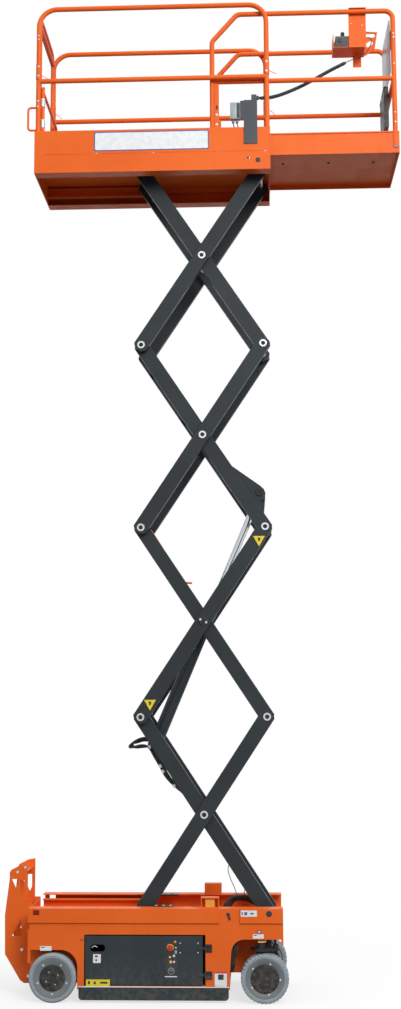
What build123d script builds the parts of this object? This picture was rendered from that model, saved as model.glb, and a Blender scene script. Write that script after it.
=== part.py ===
from build123d import *
import math
import os

# Self-propelled scissor lift, raised, with the roll-out deck pulled forward.
# +X is the driving direction, +Z is up, millimetres. The origin is the middle of
# the overall box, on the floor. "Right" is the -Y side and "left" is the +Y side.

# --- running gear ---------------------------------------------------------------
tyre_radius = 157.5
tyre_width = 100.0
tyre_shoulder = 12.0
rim_radius = 114.0
track_half_width = 378.0
rear_axle_x = -1025.0
front_axle_x = 367.0
kingpin_x = 345.0
kingpin_y = 310.0
kingpin_radius = 20.0
spindle_radius = 22.0
steering_arm = 95.0
tie_rod_radius = 12.0
tie_pin_radius = 9.0
wheel_y = track_half_width - tyre_width / 2
wheel_inner_y = track_half_width - tyre_width

# --- fits -----------------------------------------------------------------------
running_gap = 0.05
seat_gap = 0.3
moving_gap = 5.0

# --- chassis --------------------------------------------------------------------
sheet = 6.0
chassis_rear_x = -1190.0
chassis_front_x = 490.0
chassis_length = chassis_front_x - chassis_rear_x
band_half_width = 372.0
skirt_half_width = 362.0
band_top_z = 600.0
band_bottom_z = 508.0
flange_width = 95.0
skirt_bottom_z = 105.0
tray_z = 440.0
well_top_z = 335.0
well_half_width = 250.0
well_front_x = -861.0
steer_bay_x = 133.0
tunnel_half_width = 125.0
tunnel_front_x = 370.0
arch_top_z = 404.0

# --- doors ----------------------------------------------------------------------
opening_rear_x = -817.0
opening_front_x = -20.0
opening_top_z = 433.0
door_rear_x = -810.0
door_front_x = -38.0
door_bottom_z = 116.0
door_top_z = 426.0
door_depth = 20.0
door_sheet = 4.0
hinge_x = -20.0
hinge_radius = 6.0
hinge_pin_radius = 3.0
hinge_heights = (179.0, 349.0)

# --- pothole guards -------------------------------------------------------------
guard_rear_x = -853.0
guard_front_x = 131.0
guard_top_z = 90.0
guard_bottom_z = 18.0
guard_y = 356.0
guard_thickness = 8.0
guard_axis_z = 94.0
guard_rod_radius = 5.0

# --- scissor stack --------------------------------------------------------------
levels = 4
pin_span = 1561.0
raised_half_span = 431.0
pivot_x = 401.0
base_pivot_z = 540.0
arm_depth = 100.0
arm_thickness = 40.0
arm_overhang = 40.0
arm_chamfer = 25.0
inner_arm_y = 135.0
outer_arm_y = 180.0
pin_radius = 20.0
pin_head_radius = 26.5
pin_head_length = 6.0
pin_dimple_radius = 15.0
roller_radius = 24.7
roller_width = 28.0
roller_y = 228.0
track_web_y = 262.0
track_flange = 8.0
lug_y = 226.0
lug_thickness = 16.0
lug_radius = 45.0
cross_tube_radius = 25.0
arm_angle = math.acos(2 * raised_half_span / pin_span)
level_height = pin_span * math.sin(arm_angle)
slide_x = pivot_x - 2 * raised_half_span
top_pivot_z = base_pivot_z + levels * level_height
lowered_level_height = 111.6
lowered_slide_x = pivot_x - math.sqrt(pin_span ** 2 - lowered_level_height ** 2)

# --- lift cylinder --------------------------------------------------------------
foot_along = 1352.0
foot_offset = -38.0
eye_along = 231.0
eye_offset = 107.0
barrel_radius = 45.0
barrel_bore = 40.0
barrel_length = 1020.0
gland_length = 50.0
rod_radius = 25.0
rod_length = 1008.0
eye_radius = 38.0
eye_half_width = 30.0
foot_pin_radius = 22.0
eye_pin_half_length = 110.0
gusset_thickness = 18.0

# --- platform -------------------------------------------------------------------
deck_rear_x = -1214.0
deck_front_x = 466.0
deck_half_width = 372.0
panel_bottom_z = 5668.0
panel_top_z = 5980.0
deck_sheet = 4.0
floor_z = 5800.0
floor_half_width = 325.0
ledge_z = 5770.0
top_lip = 42.0
rail_radius = 17.5
rail_y = 352.0
rear_post_x = -1192.0
front_post_x = 446.0
top_rail_z = 6912.0
mid_rail_z = 6365.0
rail_bend = 130.0

# --- roll-out deck --------------------------------------------------------------
roll_rear_x = 0.0
roll_front_x = 1380.0
roll_half_width = 342.0
roll_floor_z = 5810.0
roll_panel_bottom_z = 5780.0
roll_toe_top_z = 5940.0
roll_toe_size = 35.0
roll_rail_y = 310.0
roll_rear_post_x = 55.0
roll_front_post_x = 1356.0
roll_top_rail_z = 6862.0
roll_mid_rail_z = 6350.0
roll_bend = 140.0
end_rail_radius = 16.0

os.makedirs("parts", exist_ok=True)


def save(piece, node):
    """Label a finished piece and write it as its own STEP file."""
    piece.part.label = node
    export_step(piece.part, f"parts/{node}.step")


def block(x_span, y_span, z_span, mode=Mode.ADD):
    """Add or cut a box between two limits along each axis."""
    centre = [(span[0] + span[1]) / 2 for span in (x_span, y_span, z_span)]
    size = [span[1] - span[0] for span in (x_span, y_span, z_span)]
    with Locations(tuple(centre)):
        Box(size[0], size[1], size[2], mode=mode)


def bar_y(x, z, radius, y_span, mode=Mode.ADD):
    """Add or cut a round bar that lies along Y."""
    with BuildSketch(Plane.XZ.offset(-y_span[1])) as disc:
        with Locations((x, z)):
            Circle(radius)
    extrude(disc.sketch, amount=y_span[1] - y_span[0], mode=mode)


def post(x, y, radius, z_span, mode=Mode.ADD):
    """Add or cut an upright round bar."""
    with BuildSketch(Plane.XY.offset(z_span[0])) as disc:
        with Locations((x, y)):
            Circle(radius)
    extrude(disc.sketch, amount=z_span[1] - z_span[0], mode=mode)


def tube(points, bend, radius):
    """Add a round tube that follows straight runs joined by equal bends."""
    with BuildLine() as route:
        if len(points) > 2:
            FilletPolyline(*points, radius=bend)
        else:
            Line(*points)
    with BuildSketch(Plane(origin=route.line @ 0, z_dir=route.line % 0)) as section:
        Circle(radius)
    sweep(sections=section.sketch, path=route.line)


def plate_xz(points, y_span, mode=Mode.ADD):
    """Add or cut an upright plate whose outline lies in the XZ plane."""
    with BuildSketch(Plane.XZ.offset(-y_span[1])) as face:
        with BuildLine():
            Polyline(*points, close=True)
        make_face()
    extrude(face.sketch, amount=y_span[1] - y_span[0], mode=mode)


def save_pair(right_piece, name):
    """Write the right-hand piece and its mirror image on the left."""
    save(right_piece, f"{name}_right")
    with BuildPart() as left_piece:
        mirror(right_piece.part, about=Plane.XZ)
    save(left_piece, f"{name}_left")


# --- chassis frame --------------------------------------------------------------
with BuildPart() as chassis_frame:
    # folded side member: deep band with an inward top flange over a set-back skirt
    with BuildSketch(Plane.YZ.offset(chassis_rear_x)) as side_section:
        with BuildLine():
            Polyline(
                (-band_half_width, band_top_z),
                (-band_half_width + flange_width, band_top_z),
                (-band_half_width + flange_width, band_top_z - sheet),
                (-band_half_width + sheet, band_top_z - sheet),
                (-band_half_width + sheet, band_bottom_z + sheet),
                (-skirt_half_width + sheet, band_bottom_z + sheet),
                (-skirt_half_width + sheet, skirt_bottom_z),
                (-skirt_half_width, skirt_bottom_z),
                (-skirt_half_width, band_bottom_z),
                (-band_half_width, band_bottom_z),
                close=True,
            )
        make_face()
    extrude(amount=chassis_length)

    # toggle recess: the band stops short and a set-back plate closes it
    recess_x = (70.0, 208.0)
    block(recess_x, (-band_half_width, -skirt_half_width), (505.0, band_top_z), Mode.SUBTRACT)
    block(
        (recess_x[0] - 4, recess_x[1] + 4),
        (-skirt_half_width, -skirt_half_width + sheet),
        (505.0, band_top_z - sheet),
    )
    for edge_x in (recess_x[0] - 4, recess_x[1]):
        block(
            (edge_x, edge_x + 4),
            (-band_half_width + sheet, -skirt_half_width),
            (band_bottom_z + sheet, band_top_z - sheet),
        )
    mirror(about=Plane.XZ)

    # rear wheel arch, with a quarter-round corner at the front
    with BuildSketch(Plane.XZ) as rear_arch:
        with BuildLine():
            Polyline(
                (well_front_x, 0),
                (chassis_rear_x - 20, 0),
                (chassis_rear_x - 20, 250),
                (chassis_rear_x + 18, 250),
                (chassis_rear_x + 18, well_top_z),
                (well_front_x - 110, well_top_z),
            )
            RadiusArc((well_front_x - 110, well_top_z), (well_front_x, well_top_z - 110), 110)
            Line((well_front_x, well_top_z - 110), (well_front_x, 0))
        make_face()
    extrude(amount=400, both=True, mode=Mode.SUBTRACT)

    # front wheel arch, open forward under a short lip
    with BuildSketch(Plane.XZ) as front_arch:
        with BuildLine():
            Line((steer_bay_x, 0), (steer_bay_x, skirt_bottom_z))
            Line((steer_bay_x, skirt_bottom_z), (steer_bay_x + 16, 320))
            ThreePointArc((steer_bay_x + 16, 320), (steer_bay_x + 42, 380), (239, arch_top_z))
            Polyline(
                (239, arch_top_z),
                (476, arch_top_z),
                (476, 372),
                (chassis_front_x + 20, 372),
                (chassis_front_x + 20, 0),
                (steer_bay_x, 0),
            )
        make_face()
    extrude(amount=400, both=True, mode=Mode.SUBTRACT)

    # door openings, lashing slots, cap holes and the step at the rear edge
    for side in (-1, 1):
        skirt_y = sorted((side * 380.0, side * 350.0))
        block((opening_rear_x, opening_front_x), skirt_y, (skirt_bottom_z, opening_top_z), Mode.SUBTRACT)
        block((-1157, -1115), skirt_y, (556, 590), Mode.SUBTRACT)
        block((chassis_rear_x, chassis_rear_x + 10), skirt_y, (460, 508), Mode.SUBTRACT)
        bar_y(398, 569, 19, skirt_y, Mode.SUBTRACT)

    # floor, tray floor, bulkheads, wheel wells and the tunnel between the steered wheels
    inside_y = skirt_half_width - sheet
    block((well_front_x, steer_bay_x), (-inside_y, inside_y), (skirt_bottom_z, skirt_bottom_z + sheet))
    block((chassis_rear_x, chassis_front_x - sheet), (-inside_y, inside_y), (tray_z, tray_z + sheet))
    block((well_front_x, well_front_x + sheet), (-inside_y, inside_y), (skirt_bottom_z, tray_z))
    block((steer_bay_x, steer_bay_x + sheet), (-inside_y, inside_y), (skirt_bottom_z, tray_z))
    block((chassis_rear_x, well_front_x), (-inside_y, inside_y), (well_top_z, well_top_z + sheet))
    block((chassis_rear_x, chassis_rear_x + sheet), (-inside_y, inside_y), (well_top_z, 470))
    block((chassis_front_x - sheet, chassis_front_x), (-inside_y, inside_y), (arch_top_z, 480))
    block(
        (chassis_rear_x, chassis_rear_x + sheet),
        (-well_half_width, well_half_width),
        (skirt_bottom_z, well_top_z),
    )
    block(
        (chassis_rear_x, well_front_x),
        (-well_half_width, well_half_width),
        (skirt_bottom_z, skirt_bottom_z + sheet),
    )
    for wall_y in (-well_half_width, well_half_width - sheet):
        block((chassis_rear_x, well_front_x), (wall_y, wall_y + sheet), (skirt_bottom_z, well_top_z))
    for wall_y in (-tunnel_half_width, tunnel_half_width - sheet):
        block((steer_bay_x, tunnel_front_x), (wall_y, wall_y + sheet), (150, tray_z))
    block((steer_bay_x, tunnel_front_x), (-tunnel_half_width, tunnel_half_width), (150, 150 + sheet))
    block(
        (tunnel_front_x - sheet, tunnel_front_x),
        (-tunnel_half_width, tunnel_half_width),
        (150, tray_z),
    )

    # ears that carry the pothole guards under the floor
    for ear_x in (well_front_x, steer_bay_x + 1):
        for side in (-1, 1):
            block(
                (ear_x, ear_x + 5),
                sorted((side * (guard_y - 12), side * (guard_y + 6))),
                (84, skirt_bottom_z),
            )
    for side in (-1, 1):
        with BuildSketch(Plane.YZ.offset(well_front_x - 2)) as ear_bores:
            with Locations((side * guard_y, guard_axis_z)):
                Circle(guard_rod_radius + running_gap)
        extrude(amount=1010, mode=Mode.SUBTRACT)
save(chassis_frame, "chassis_frame")

# --- ladder ---------------------------------------------------------------------
ladder_y = 160.0
ladder_sheet = 8.0
ladder_outline = [
    (-1190, 105), (-1211, 84), (-1245, 84), (-1272, 103), (-1376, 271), (-1380, 525),
    (-1344, 820), (-1276, 853), (-1230, 860), (-1230, 600), (-1190, 600),
]
with BuildPart() as rear_ladder:
    plate_y = (-ladder_y - ladder_sheet / 2, -ladder_y + ladder_sheet / 2)
    plate_xz(ladder_outline, plate_y)
    plate_xz([(-1336, 761), (-1288, 761), (-1305, 695)], plate_y, Mode.SUBTRACT)
    plate_xz([(-1331, 388), (-1263, 388), (-1271, 499)], plate_y, Mode.SUBTRACT)
    plate_xz([(-1281, 753), (-1251, 753), (-1251, 668), (-1266, 637), (-1281, 668)], plate_y, Mode.SUBTRACT)
    mirror(about=Plane.XZ)
    for tread_z in (262, 560, 800):
        block((-1352, -1242), (plate_y[1], -plate_y[1]), (tread_z, tread_z + sheet))
        block((-1352, -1346), (plate_y[1], -plate_y[1]), (tread_z - 24, tread_z))
    block((-1196, -1190), (plate_y[1], -plate_y[1]), (120, 590))
save(rear_ladder, "rear_ladder")

# --- scissor base: slide channels and pivot lugs ---------------------------------


def pivot_lug(x, z, foot_z, y_start):
    """Add a lug plate with a round nose about a pivot and a straight foot."""
    plate_xz(
        [(x - lug_radius, z), (x - 60, foot_z), (x + 58, foot_z), (x + lug_radius, z)],
        (y_start, y_start + lug_thickness),
    )
    bar_y(x, z, lug_radius, (y_start, y_start + lug_thickness))


def slide_channel(z, x_span, web_to_z):
    """Add one inward-open channel for a roller at height z, with its web carried to a seat."""
    for face_z in (z - roller_radius - seat_gap - track_flange, z + roller_radius + seat_gap):
        block(x_span, (-track_web_y - sheet, -roller_y + 2), (face_z, face_z + track_flange))
    reach = roller_radius + seat_gap + track_flange
    web_z = sorted((z - reach, z + reach, web_to_z))
    block(x_span, (-track_web_y - sheet, -track_web_y), (web_z[0], web_z[-1]))


with BuildPart() as scissor_base:
    slide_channel(base_pivot_z, (chassis_rear_x + sheet, slide_x + 60), tray_z + sheet)
    pivot_lug(pivot_x, base_pivot_z, tray_z + sheet, -lug_y - lug_thickness)
    mirror(about=Plane.XZ)
    bar_y(pivot_x, base_pivot_z, pin_radius + running_gap, (-300, 300), Mode.SUBTRACT)
save(scissor_base, "scissor_base")

# --- front axle beam with its kingpin housings ------------------------------------
kingpin_tube_z = 380.0
with BuildPart() as front_axle_beam:
    block(
        (kingpin_x - 55, kingpin_x + 55),
        (-inside_y, inside_y),
        (410, tray_z),
    )
    for side in (-1, 1):
        post(kingpin_x, side * kingpin_y, 29, (kingpin_tube_z, 410))
        post(kingpin_x, side * kingpin_y, kingpin_radius + running_gap, (370, 434), Mode.SUBTRACT)
    block((kingpin_x - 56, kingpin_x + 56), (-tunnel_half_width - seat_gap, tunnel_half_width + seat_gap),
          (400, 445), Mode.SUBTRACT)
save(front_axle_beam, "front_axle_beam")

# --- rear axle stubs -------------------------------------------------------------
with BuildPart() as rear_axle:
    bar_y(rear_axle_x, tyre_radius, 46, (-well_half_width - 12, -well_half_width))
    bar_y(rear_axle_x, tyre_radius, spindle_radius, (-366, -well_half_width - 12))
    with BuildSketch(Plane.XZ.offset(366)) as nut:
        with Locations((rear_axle_x, tyre_radius)):
            RegularPolygon(20, 6)
    extrude(amount=11)
    mirror(about=Plane.XZ)
save(rear_axle, "rear_axle")

# --- power packs -----------------------------------------------------------------
with BuildPart() as battery_block:
    block((-780, -420), (-60, 320), (skirt_bottom_z + sheet, 390))
save(battery_block, "battery_block")
with BuildPart() as hydraulic_block:
    block((-330, 60), (-230, 20), (skirt_bottom_z + sheet, 400))
save(hydraulic_block, "hydraulic_block")

# --- beacons ---------------------------------------------------------------------
with BuildPart() as beacon_guard:
    block((-49, 70), (-360, -300), (band_top_z, band_top_z + 70))
    block((-43, 64), (-361, -306), (band_top_z + 8, band_top_z + 64), Mode.SUBTRACT)
save_pair(beacon_guard, "beacon_guard")
with BuildPart() as beacon_lens:
    block((-22, 43), (-350, -306), (band_top_z + 8, band_top_z + 56))
    fillet(beacon_lens.edges().filter_by(Axis.Z), 10)
save_pair(beacon_lens, "beacon_lens")

# --- wheels ----------------------------------------------------------------------


def wheel(name, x, side, bore_depth, cover_radius):
    """Write the tyre and rim of one wheel; a blind bore leaves a closed cover."""
    outer_y = track_half_width
    with BuildPart() as tyre:
        with BuildSketch(Plane.YZ.offset(x)) as tyre_section:
            with BuildLine():
                Polyline(
                    (-outer_y + 3, tyre_radius + rim_radius + running_gap),
                    (-outer_y, tyre_radius + rim_radius + 6),
                    (-outer_y, 2 * tyre_radius - tyre_shoulder),
                    (-outer_y + tyre_shoulder * 0.3, 2 * tyre_radius - tyre_shoulder * 0.3),
                    (-outer_y + tyre_shoulder, 2 * tyre_radius),
                    (-wheel_inner_y - tyre_shoulder, 2 * tyre_radius),
                    (-wheel_inner_y - tyre_shoulder * 0.3, 2 * tyre_radius - tyre_shoulder * 0.3),
                    (-wheel_inner_y, 2 * tyre_radius - tyre_shoulder),
                    (-wheel_inner_y, tyre_radius + rim_radius + running_gap),
                    close=True,
                )
            make_face()
        revolve(axis=Axis((x, 0, tyre_radius), (0, 1, 0)))
    with BuildPart() as rim:
        with BuildSketch(Plane.YZ.offset(x)) as rim_section:
            with BuildLine():
                Polyline(
                    (-outer_y + 3, tyre_radius + rim_radius),
                    (-outer_y + 3, tyre_radius + rim_radius - 6),
                    (-outer_y + 12, tyre_radius + cover_radius + 8),
                    (-outer_y + 12, tyre_radius + cover_radius),
                    (-outer_y + 6, tyre_radius + cover_radius - 4),
                    (-outer_y + 6, tyre_radius),
                    (-wheel_inner_y - 2, tyre_radius),
                    (-wheel_inner_y - 2, tyre_radius + 48),
                    (-outer_y + 34, tyre_radius + 60),
                    (-outer_y + 34, tyre_radius + rim_radius - 14),
                    (-wheel_inner_y - 4, tyre_radius + rim_radius - 10),
                    (-wheel_inner_y - 4, tyre_radius + rim_radius),
                    close=True,
                )
            make_face()
        revolve(axis=Axis((x, 0, tyre_radius), (0, 1, 0)))
        bar_y(x, tyre_radius, spindle_radius + running_gap, (-wheel_inner_y - bore_depth, -200), Mode.SUBTRACT)
    for piece, node in ((tyre, "tyre"), (rim, "rim")):
        if side < 0:
            save(piece, f"{node}_{name}")
        else:
            with BuildPart() as left_piece:
                mirror(piece.part, about=Plane.XZ)
            save(left_piece, f"{node}_{name}")


for side, side_name in ((-1, "right"), (1, "left")):
    wheel(f"rear_{side_name}", rear_axle_x, side, 110, 70)
    wheel(f"front_{side_name}", front_axle_x, side, 80, 76)

# --- steering --------------------------------------------------------------------
knuckle_plate_z = 326.0
knuckle_plate = 16.0
tie_pin_x = kingpin_x + steering_arm
with BuildPart() as knuckle:
    knuckle_top_z = knuckle_plate_z + knuckle_plate
    with BuildSketch(Plane.XY.offset(knuckle_plate_z)) as yoke_plate:
        with Locations((kingpin_x, -kingpin_y)):
            Circle(52)
        with Locations((tie_pin_x, -kingpin_y)):
            Circle(20)
        with BuildLine():
            Polyline(
                (kingpin_x - 70, -wheel_inner_y),
                (kingpin_x - 70, -wheel_inner_y + 18),
                (front_axle_x + 50, -wheel_inner_y + 18),
                (tie_pin_x + 10, -kingpin_y + 17),
                (tie_pin_x + 10, -kingpin_y - 17),
                (kingpin_x, -kingpin_y - 50),
                close=True,
            )
        make_face()
    extrude(amount=knuckle_plate)
    post(kingpin_x, -kingpin_y, 27, (knuckle_top_z, kingpin_tube_z - 2))
    post(kingpin_x, -kingpin_y, kingpin_radius, (knuckle_top_z, 430))
    post(tie_pin_x, -kingpin_y, tie_pin_radius, (knuckle_top_z, knuckle_top_z + 28))
    block(
        (front_axle_x - 55, front_axle_x + 50),
        (-wheel_inner_y + 6, -wheel_inner_y + 18),
        (90, knuckle_plate_z),
    )
    bar_y(front_axle_x, tyre_radius, spindle_radius, (-wheel_inner_y - 78, -wheel_inner_y + 6))
    bar_y(front_axle_x, tyre_radius, 55, (-wheel_inner_y + 18, -wheel_inner_y + 108))
save_pair(knuckle, "knuckle")

with BuildPart() as tie_rod:
    eye_z = (knuckle_top_z + 2, knuckle_top_z + 22)
    for side in (-1, 1):
        post(tie_pin_x, side * kingpin_y, 19, eye_z)
    bar_y(tie_pin_x, sum(eye_z) / 2, 9, (-kingpin_y + 10, kingpin_y - 10))
    for side in (-1, 1):
        post(tie_pin_x, side * kingpin_y, tie_pin_radius + running_gap, (300, 400), Mode.SUBTRACT)
save(tie_rod, "tie_rod")

# --- doors -----------------------------------------------------------------------
door_face_y = -366.0
hinge_y = -372.0
with BuildPart() as door:
    door_back_y = door_face_y + door_depth
    block((door_rear_x, door_front_x), (door_face_y, door_back_y), (door_bottom_z, door_top_z))
    block(
        (door_rear_x + door_sheet, door_front_x - door_sheet),
        (door_face_y + door_sheet, door_back_y),
        (door_bottom_z + door_sheet, door_top_z - door_sheet),
        Mode.SUBTRACT,
    )
    # grip slot at the free end
    with BuildSketch(Plane.XZ.offset(-door_back_y)) as grip:
        with Locations((-727, 348)):
            SlotOverall(99, 46)
    extrude(amount=door_depth + 5, mode=Mode.SUBTRACT)
    for z in hinge_heights:
        block((door_front_x - 30, hinge_x), (door_face_y - 4, door_face_y), (z - 8, z + 8))
        post(hinge_x, hinge_y, hinge_radius, (z - 8, z + 8))
        post(hinge_x, hinge_y, hinge_pin_radius + running_gap, (z - 9, z + 9), Mode.SUBTRACT)

# the right door carries the ground controls in a set-back window
with BuildPart() as door_right:
    add(door.part)
    block((-291, -199), (-370, -340), (163, 396), Mode.SUBTRACT)
save(door_right, "door_right")
with BuildPart() as door_left:
    mirror(door.part, about=Plane.XZ)
save(door_left, "door_left")

with BuildPart() as ground_panel:
    block((-297, -193), (door_face_y + door_sheet, door_face_y + 12), (157, 402))
    bar_y(-251, 352, 17, (door_face_y - 4, door_face_y + door_sheet))
    bar_y(-251, 352, 9, (door_face_y, door_face_y + door_sheet))
    bar_y(-222, 385, 4, (door_face_y + 1, door_face_y + door_sheet))
    bar_y(-245, 280, 7, (door_face_y - 2, door_face_y + door_sheet))
    bar_y(-245, 194, 15, (door_face_y, door_face_y + door_sheet))
save(ground_panel, "ground_panel")

with BuildPart() as door_hinges:
    for z in hinge_heights:
        for low, high in ((z + 8 + seat_gap, z + 24), (z - 24, z - 8 - seat_gap)):
            post(hinge_x, hinge_y, hinge_radius, (low, high))
            block((hinge_x, 23), (hinge_y + 2, -skirt_half_width), (low, high))
        post(hinge_x, hinge_y, hinge_pin_radius, (z - 24, z + 24))
        block((hinge_x + 8, 23), (hinge_y + 6, -skirt_half_width), (z - 24, z + 24))
save_pair(door_hinges, "door_hinges")

# --- pothole guards ----------------------------------------------------------------
with BuildPart() as pothole_guard:
    guard_faces = (-guard_y - guard_thickness / 2, -guard_y + guard_thickness / 2)
    block((guard_rear_x, guard_front_x), guard_faces, (guard_bottom_z, guard_top_z))
    corners = pothole_guard.edges().filter_by(Axis.Y).group_by(Axis.Z)[0]
    fillet(corners, 24)
    with BuildSketch(Plane.YZ.offset(well_front_x)) as guard_rod:
        with Locations((-guard_y, guard_axis_z)):
            Circle(guard_rod_radius)
    extrude(amount=steer_bay_x + sheet - well_front_x)
save_pair(pothole_guard, "pothole_guard")

# --- scissor arms ------------------------------------------------------------------
cos_arm = math.cos(arm_angle)
sin_arm = math.sin(arm_angle)


def arm_plane(start_x, start_z, heading, y):
    """Plane with +X along an arm and +Y on its upper side; heading is +1 forward or -1 rearward."""
    return Plane(origin=(start_x, y, start_z), x_dir=(heading * cos_arm, 0, sin_arm), z_dir=(0, -heading, 0))


def arm_point(start_x, start_z, heading, along, above):
    """World (x, z) of a point given along an arm and above its centre line."""
    x = start_x + heading * (along * cos_arm - above * sin_arm)
    return x, start_z + along * sin_arm + above * cos_arm


def add_arm(start_x, start_z, heading, y, bores):
    """Add one arm of the right-hand side, with bores of the given radii at its three pins."""
    with BuildSketch(arm_plane(start_x, start_z, heading, y)) as outline:
        with Locations((pin_span / 2, 0)):
            Rectangle(pin_span + 2 * arm_overhang, arm_depth)
        chamfer(outline.vertices(), arm_chamfer)
        for station, bore in zip((0, pin_span / 2, pin_span), bores):
            with Locations((station, 0)):
                Circle(bore, mode=Mode.SUBTRACT)
    extrude(outline.sketch, amount=arm_thickness)


def inner_cross_tube(start_z, along, radius):
    """Add a tube between the two inner arms at a distance along them."""
    x, z = arm_point(pivot_x, start_z, -1, along, 0)
    bar_y(x, z, radius, (-inner_arm_y - 1, inner_arm_y + 1))


loose_bore = pin_radius + running_gap
inner_tubes = {1: (110, foot_along + 128), 2: (110, 1420), 3: (1000, 1420), 4: (80, 1420)}
foot_x, foot_z = arm_point(pivot_x, base_pivot_z, -1, foot_along, foot_offset)
eye_x, eye_z = arm_point(pivot_x, base_pivot_z + 2 * level_height, -1, eye_along, eye_offset)

for level in range(1, levels + 1):
    low_z = base_pivot_z + (level - 1) * level_height
    high_z = low_z + level_height
    mid_z = (low_z + high_z) / 2
    mid_x = (pivot_x + slide_x) / 2

    with BuildPart() as outer_arms:
        add_arm(slide_x, low_z, 1, -outer_arm_y, (loose_bore,) * 3)
        mirror(about=Plane.XZ)
    save(outer_arms, f"outer_arms_{level}")

    with BuildPart() as arm_pins:
        head_from = outer_arm_y + arm_thickness
        low_reach = roller_y + roller_width if level == 1 else head_from
        high_reach = lug_y + lug_thickness if level == levels else head_from
        bar_y(slide_x, low_z, pin_radius, (-low_reach, low_reach))
        bar_y(pivot_x, high_z, pin_radius, (-high_reach, high_reach))
        if level == 1:
            bar_y(slide_x, low_z, roller_radius, (-low_reach, -roller_y))
        else:
            bar_y(slide_x, low_z, pin_head_radius, (-head_from - pin_head_length, -head_from))
        bar_y(pivot_x, high_z, pin_head_radius, (-high_reach - pin_head_length, -high_reach))
        bar_y(mid_x, mid_z, pin_radius, (-head_from, -inner_arm_y + 4))
        bar_y(mid_x, mid_z, pin_head_radius, (-head_from - pin_head_length, -head_from))
        for x, z in ((slide_x, low_z), (pivot_x, high_z), (mid_x, mid_z)):
            bar_y(x, z, pin_dimple_radius, (-300, -head_from - pin_head_length / 2), Mode.SUBTRACT)
        split(bisect_by=Plane.XZ)
        mirror(about=Plane.XZ)
    save(arm_pins, f"arm_pins_{level}")

    with BuildPart() as inner_arms:
        add_arm(pivot_x, low_z, -1, -inner_arm_y - arm_thickness, (loose_bore,) * 3)
        if level == 3:
            # gussets inside the arms take the eye pin, each held off its arm by a spacer bar
            gusset_y = (-eye_pin_half_length - seat_gap - gusset_thickness, -eye_pin_half_length - seat_gap)
            gusset = [arm_point(pivot_x, low_z, -1, *corner) for corner in (
                (eye_along - 141, -45), (eye_along - 141, 40), (eye_along - 127, 63),
                (eye_along - 26, eye_offset + 36), (eye_along + 26, eye_offset + 36),
                (eye_along + 285, 45), (eye_along + 285, -45),
            )]
            plate_xz(gusset, gusset_y)
            bar_y(eye_x, eye_z, 40, gusset_y)
            spacer = [arm_point(pivot_x, low_z, -1, *corner) for corner in (
                (eye_along - 141, -45), (eye_along - 141, 45), (eye_along + 285, 45), (eye_along + 285, -45),
            )]
            plate_xz(spacer, (-inner_arm_y - 1, gusset_y[0] + 1))
        mirror(about=Plane.XZ)
        for along in inner_tubes[level]:
            inner_cross_tube(low_z, along, cross_tube_radius)
        if level == 1:
            bar_y(foot_x, foot_z, foot_pin_radius, (-inner_arm_y - 1, inner_arm_y + 1))
            lug_reach = lug_y + lug_thickness
            bar_y(pivot_x, low_z, loose_bore, (-inner_arm_y - arm_thickness, inner_arm_y + arm_thickness))
            bar_y(pivot_x, low_z, pin_radius, (-lug_reach, lug_reach))
        if level == levels:
            slide_reach = roller_y + roller_width
            bar_y(slide_x, high_z, loose_bore, (-inner_arm_y - arm_thickness, inner_arm_y + arm_thickness))
            bar_y(slide_x, high_z, pin_radius, (-slide_reach, slide_reach))
            for side in (-1, 1):
                bar_y(slide_x, high_z, roller_radius, sorted((side * roller_y, side * slide_reach)))
    save(inner_arms, f"inner_arms_{level}")

# --- lift cylinder -----------------------------------------------------------------
stroke_x = eye_x - foot_x
stroke_z = eye_z - foot_z
raised_length = math.hypot(stroke_x, stroke_z)
cylinder_line = Vector(stroke_x, 0, stroke_z).normalized()


def along_cylinder(distance):
    """Plane across the cylinder's line at a distance from its foot pin."""
    return Plane(origin=Vector(foot_x, 0, foot_z) + cylinder_line * distance, z_dir=cylinder_line)


def round_stretch(start, end, radius, mode=Mode.ADD):
    """Add or cut a round stretch of the cylinder between two distances from the foot pin."""
    with BuildSketch(along_cylinder(start)) as disc:
        Circle(radius)
    extrude(disc.sketch, amount=end - start, mode=mode)


with BuildPart() as lift_barrel:
    round_stretch(0, barrel_length - gland_length, barrel_radius)
    round_stretch(barrel_length - gland_length, barrel_length, barrel_radius + 3)
    bar_y(foot_x, foot_z, barrel_radius + 4, (-34, 34))
    round_stretch(75, barrel_length - gland_length, barrel_bore, Mode.SUBTRACT)
    round_stretch(75, barrel_length + 1, rod_radius + running_gap, Mode.SUBTRACT)
    bar_y(foot_x, foot_z, foot_pin_radius + running_gap, (-60, 60), Mode.SUBTRACT)
save(lift_barrel, "lift_barrel")

with BuildPart() as lift_rod:
    round_stretch(raised_length - rod_length, raised_length, rod_radius)
    round_stretch(raised_length - rod_length, raised_length - rod_length + 60, barrel_bore - running_gap)
    bar_y(eye_x, eye_z, eye_radius, (-eye_half_width, eye_half_width))
    bar_y(eye_x, eye_z, pin_radius, (-eye_pin_half_length, eye_pin_half_length))
save(lift_rod, "lift_rod")

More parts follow.
